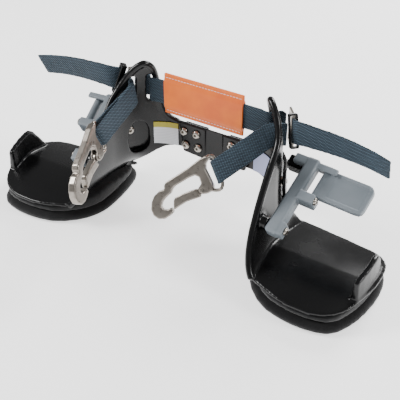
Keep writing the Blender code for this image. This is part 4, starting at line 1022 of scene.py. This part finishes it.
def screw_piece(name, way, mat):
    """Screw in place of a packed one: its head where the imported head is, its shank behind it."""
    points = [v.co for v in frame["nodes"][name].data.vertices]
    along = [p.dot(way) for p in points]
    top, bottom = max(along), min(along)
    crown = [p for p, a in zip(points, along) if a > top - 0.05 * MM]
    centre = sum(crown, Vector()) / len(crown)
    centre -= way * (centre.dot(way) - top)
    head = max(((p - centre) - way * (p - centre).dot(way)).length for p in points)
    shank_points = [p for p, a in zip(points, along) if a < bottom + 0.05 * MM]
    shank = max(((p - centre) - way * (p - centre).dot(way)).length for p in shank_points)
    seat_points = [a for p, a in zip(points, along)
                   if ((p - centre) - way * (p - centre).dot(way)).length > head * 0.98]
    seat = min(seat_points)
    rise = top - seat
    turn = way.to_track_quat("Z", "Y").to_matrix().to_4x4()
    place = Matrix.Translation(centre + way * (seat - top)) @ turn
    bm = button_head(head, rise, min(1.5 * MM, head * 0.42))
    bmesh.ops.transform(bm, matrix=place, verts=bm.verts)
    spike = rod(centre + way * (seat - top + 0.02 * MM), centre + way * (bottom - top), shank, 24)
    extra = bpy.data.meshes.new("shank")
    spike.to_mesh(extra)
    spike.free()
    bm.from_mesh(extra)
    bpy.data.meshes.remove(extra)
    ob = object_of(name + "_turned", bm)
    ob.data.polygons.foreach_set("use_smooth", [True] * len(ob.data.polygons))
    ob.data.set_sharp_from_angle(angle=math.radians(35))
    return ob


# ---------------------------------------------------------------- hooks, latches, labels

class RESTRAINT_OT_hooks(bpy.types.Operator):
    """Cast snap hooks and their gates"""
    bl_idname = "restraint.hooks"
    bl_label = "Snap hooks"

    def execute(self, context):
        mat = cast_stainless()
        for side in SIDE_NAMES.values():
            hook = fuse(copy_of(side + "_hook_body", side + "_hook_casting"), look().hook_grain, 6)
            finish_piece(hook, mat, side + "_hook", "cast_steel", side + "_hook_body")
            gate = fuse(copy_of(side + "_hook_gate", side + "_gate_casting"), look().hook_grain, 5)
            finish_piece(gate, mat, side + "_gate", "cast_steel", side + "_hook_gate")
        return {"FINISHED"}


class RESTRAINT_OT_latches(bpy.types.Operator):
    """Hinged latch arms and finger paddles"""
    bl_idname = "restraint.latches"
    bl_label = "Latch arms"

    def execute(self, context):
        mat = moulded_grey_nylon()
        cloth = faced_foam_black()
        for side in SIDE_NAMES.values():
            arm = fuse(copy_of(side + "_latch_arm", side + "_arm_moulded"), 0.55 * MM, 4)
            finish_piece(arm, mat, side + "_arm", "grey_nylon", side + "_latch_arm")
            paddle = fuse(copy_of(side + "_paddle", side + "_paddle_moulded"), 0.55 * MM, 4)
            finish_piece(paddle, mat, side + "_paddle_body", "grey_nylon", side + "_paddle")
            # A thin black piece under each paddle, showing as a dark band below its grey front edge.
            liner = fuse(copy_of(side + "_paddle_liner", side + "_liner_cloth"), 0.5 * MM, 2)
            finish_piece(liner, cloth, side + "_paddle_body", "black_fabric", side + "_paddle_liner")
        return {"FINISHED"}


class RESTRAINT_OT_labels(bpy.types.Operator):
    """Blank film labels beside the bridge"""
    bl_idname = "restraint.labels"
    bl_label = "Labels"

    def execute(self, context):
        band_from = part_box("left_label")[1][2] - 5.5 * MM
        paint("left_label", label_film("banded_label_film", "#d9dbe0", "#a59a1f", band_from))
        paint("right_label", label_film("pale_label_film", "#9aa0c4"))
        return {"FINISHED"}


# ---------------------------------------------------------------- stage

def lamp(name, place, aim, width, power, tint=(1, 1, 1)):
    data = bpy.data.lights.new(name, "AREA")
    data.shape = "DISK"
    data.size = width
    data.energy = power
    data.color = tint
    ob = bpy.data.objects.new(name, data)
    bpy.context.collection.objects.link(ob)
    ob.location = place
    ob.rotation_euler = (Vector(aim) - Vector(place)).to_track_quat("-Z", "Y").to_euler()
    return ob


class RESTRAINT_OT_stage(bpy.types.Operator):
    """Pale floor, soft lights and the camera"""
    bl_idname = "restraint.stage"
    bl_label = "Stage"

    def execute(self, context):
        bm = bmesh.new()
        bmesh.ops.create_grid(bm, x_segments=1, y_segments=1, size=FLOOR_HALF)
        floor = object_of("studio_floor", bm)
        for poly in floor.data.polygons:
            if poly.normal.z < 0:
                floor.data.flip_normals()
        paper = material("studio_paper", (0.9, 0.9, 0.9), 0.9, Emission_Color=(1, 1, 1, 1),
                         Emission_Strength=look().paper_glow)[0]
        floor.data.materials.append(paper)
        world = bpy.data.worlds.new("studio_world")
        world.use_nodes = True
        world.node_tree.nodes["Background"].inputs["Color"].default_value = (1, 1, 1, 1)
        world.node_tree.nodes["Background"].inputs["Strength"].default_value = look().sky_strength
        context.scene.world = world
        lamp("soft_left", (-0.9, -0.5, 0.9), (0, 0, 0.05), 0.5, 16)
        lamp("soft_back", (0.2, 1.1, 0.9), (0, 0, 0.08), 0.6, 20)
        lamp("soft_right", (1.1, 0.2, 0.7), (0, 0, 0.05), 0.4, 9)
        data = bpy.data.cameras.new("camera")
        data.lens = CAMERA_LENS
        data.sensor_width = CAMERA_SENSOR
        data.clip_start = 0.01
        camera = bpy.data.objects.new("camera", data)
        context.collection.objects.link(camera)
        azimuth, elevation = CAMERA_AZIMUTH, CAMERA_ELEVATION
        back = Vector((math.sin(azimuth) * math.cos(elevation), -math.cos(azimuth) * math.cos(elevation),
                       math.sin(elevation)))
        camera.location = SHIFT + Vector(CAMERA_PLACE)
        camera.rotation_euler = back.to_track_quat("Z", "Y").to_euler()
        context.scene.camera = camera
        return {"FINISHED"}


class RestraintLook(bpy.types.PropertyGroup):
    shell_colour: FloatVectorProperty(name="Shell colour", description="Colour of the moulded shells",
                                      subtype="COLOR", default=linear("#0e0e0f"))
    shell_grain: FloatProperty(name="Shell grain", description="Mesh size of the shells", subtype="DISTANCE",
                               unit="LENGTH", default=1.05 * MM)
    shell_rounding: IntProperty(name="Shell rounding", description="Rounding passes on the shells", default=5)
    hook_grain: FloatProperty(name="Hook grain", description="Mesh size of the castings", subtype="DISTANCE",
                              unit="LENGTH", default=0.5 * MM)
    web_grain: FloatProperty(name="Webbing grain", description="Mesh size of the webbing", subtype="DISTANCE",
                             unit="LENGTH", default=0.6 * MM)
    pad_swell: FloatProperty(name="Pad swell",
                             description="How far the foam's edge bulges", subtype="DISTANCE",
                             unit="LENGTH", default=1.0 * MM)
    stitch_pitch: FloatProperty(name="Stitch pitch", description="Distance from stitch to stitch",
                                subtype="DISTANCE", unit="LENGTH", default=3.0 * MM)
    stitch_inset: FloatProperty(name="Stitch inset", description="Seam to edge of the sleeve",
                                subtype="DISTANCE", unit="LENGTH", default=3.2 * MM)
    sky_strength: FloatProperty(name="Sky strength", description="Brightness of the studio", default=0.4)
    paper_glow: FloatProperty(name="Paper glow",
                              description="How far the paper under the object is lit through",
                              default=1.2)


OPERATORS = (RESTRAINT_OT_shells, RESTRAINT_OT_pads, RESTRAINT_OT_webbing, RESTRAINT_OT_sleeve,
             RESTRAINT_OT_screws, RESTRAINT_OT_hooks, RESTRAINT_OT_latches, RESTRAINT_OT_labels,
             RESTRAINT_OT_stage)


class RESTRAINT_PT_panel(bpy.types.Panel):
    """Sizes and the steps that build the restraint"""
    bl_label = "Restraint"
    bl_idname = "RESTRAINT_PT_panel"
    bl_space_type = "VIEW_3D"
    bl_region_type = "UI"
    bl_category = "Restraint"

    def draw(self, context):
        for label in RestraintLook.__annotations__:
            self.layout.prop(context.scene.restraint_look, label)
        for step in OPERATORS:
            self.layout.operator(step.bl_idname)


def register():
    for cls in (RestraintLook, *OPERATORS, RESTRAINT_PT_panel):
        bpy.utils.register_class(cls)
    bpy.types.Scene.restraint_look = PointerProperty(type=RestraintLook)


def unregister():
    del bpy.types.Scene.restraint_look
    for cls in (RESTRAINT_PT_panel, *OPERATORS[::-1], RestraintLook):
        bpy.utils.unregister_class(cls)


def main():
    register()
    for step in OPERATORS:
        group, action = step.bl_idname.split(".")
        getattr(getattr(bpy.ops, group), action)()


if __name__ == "__main__":
    main()
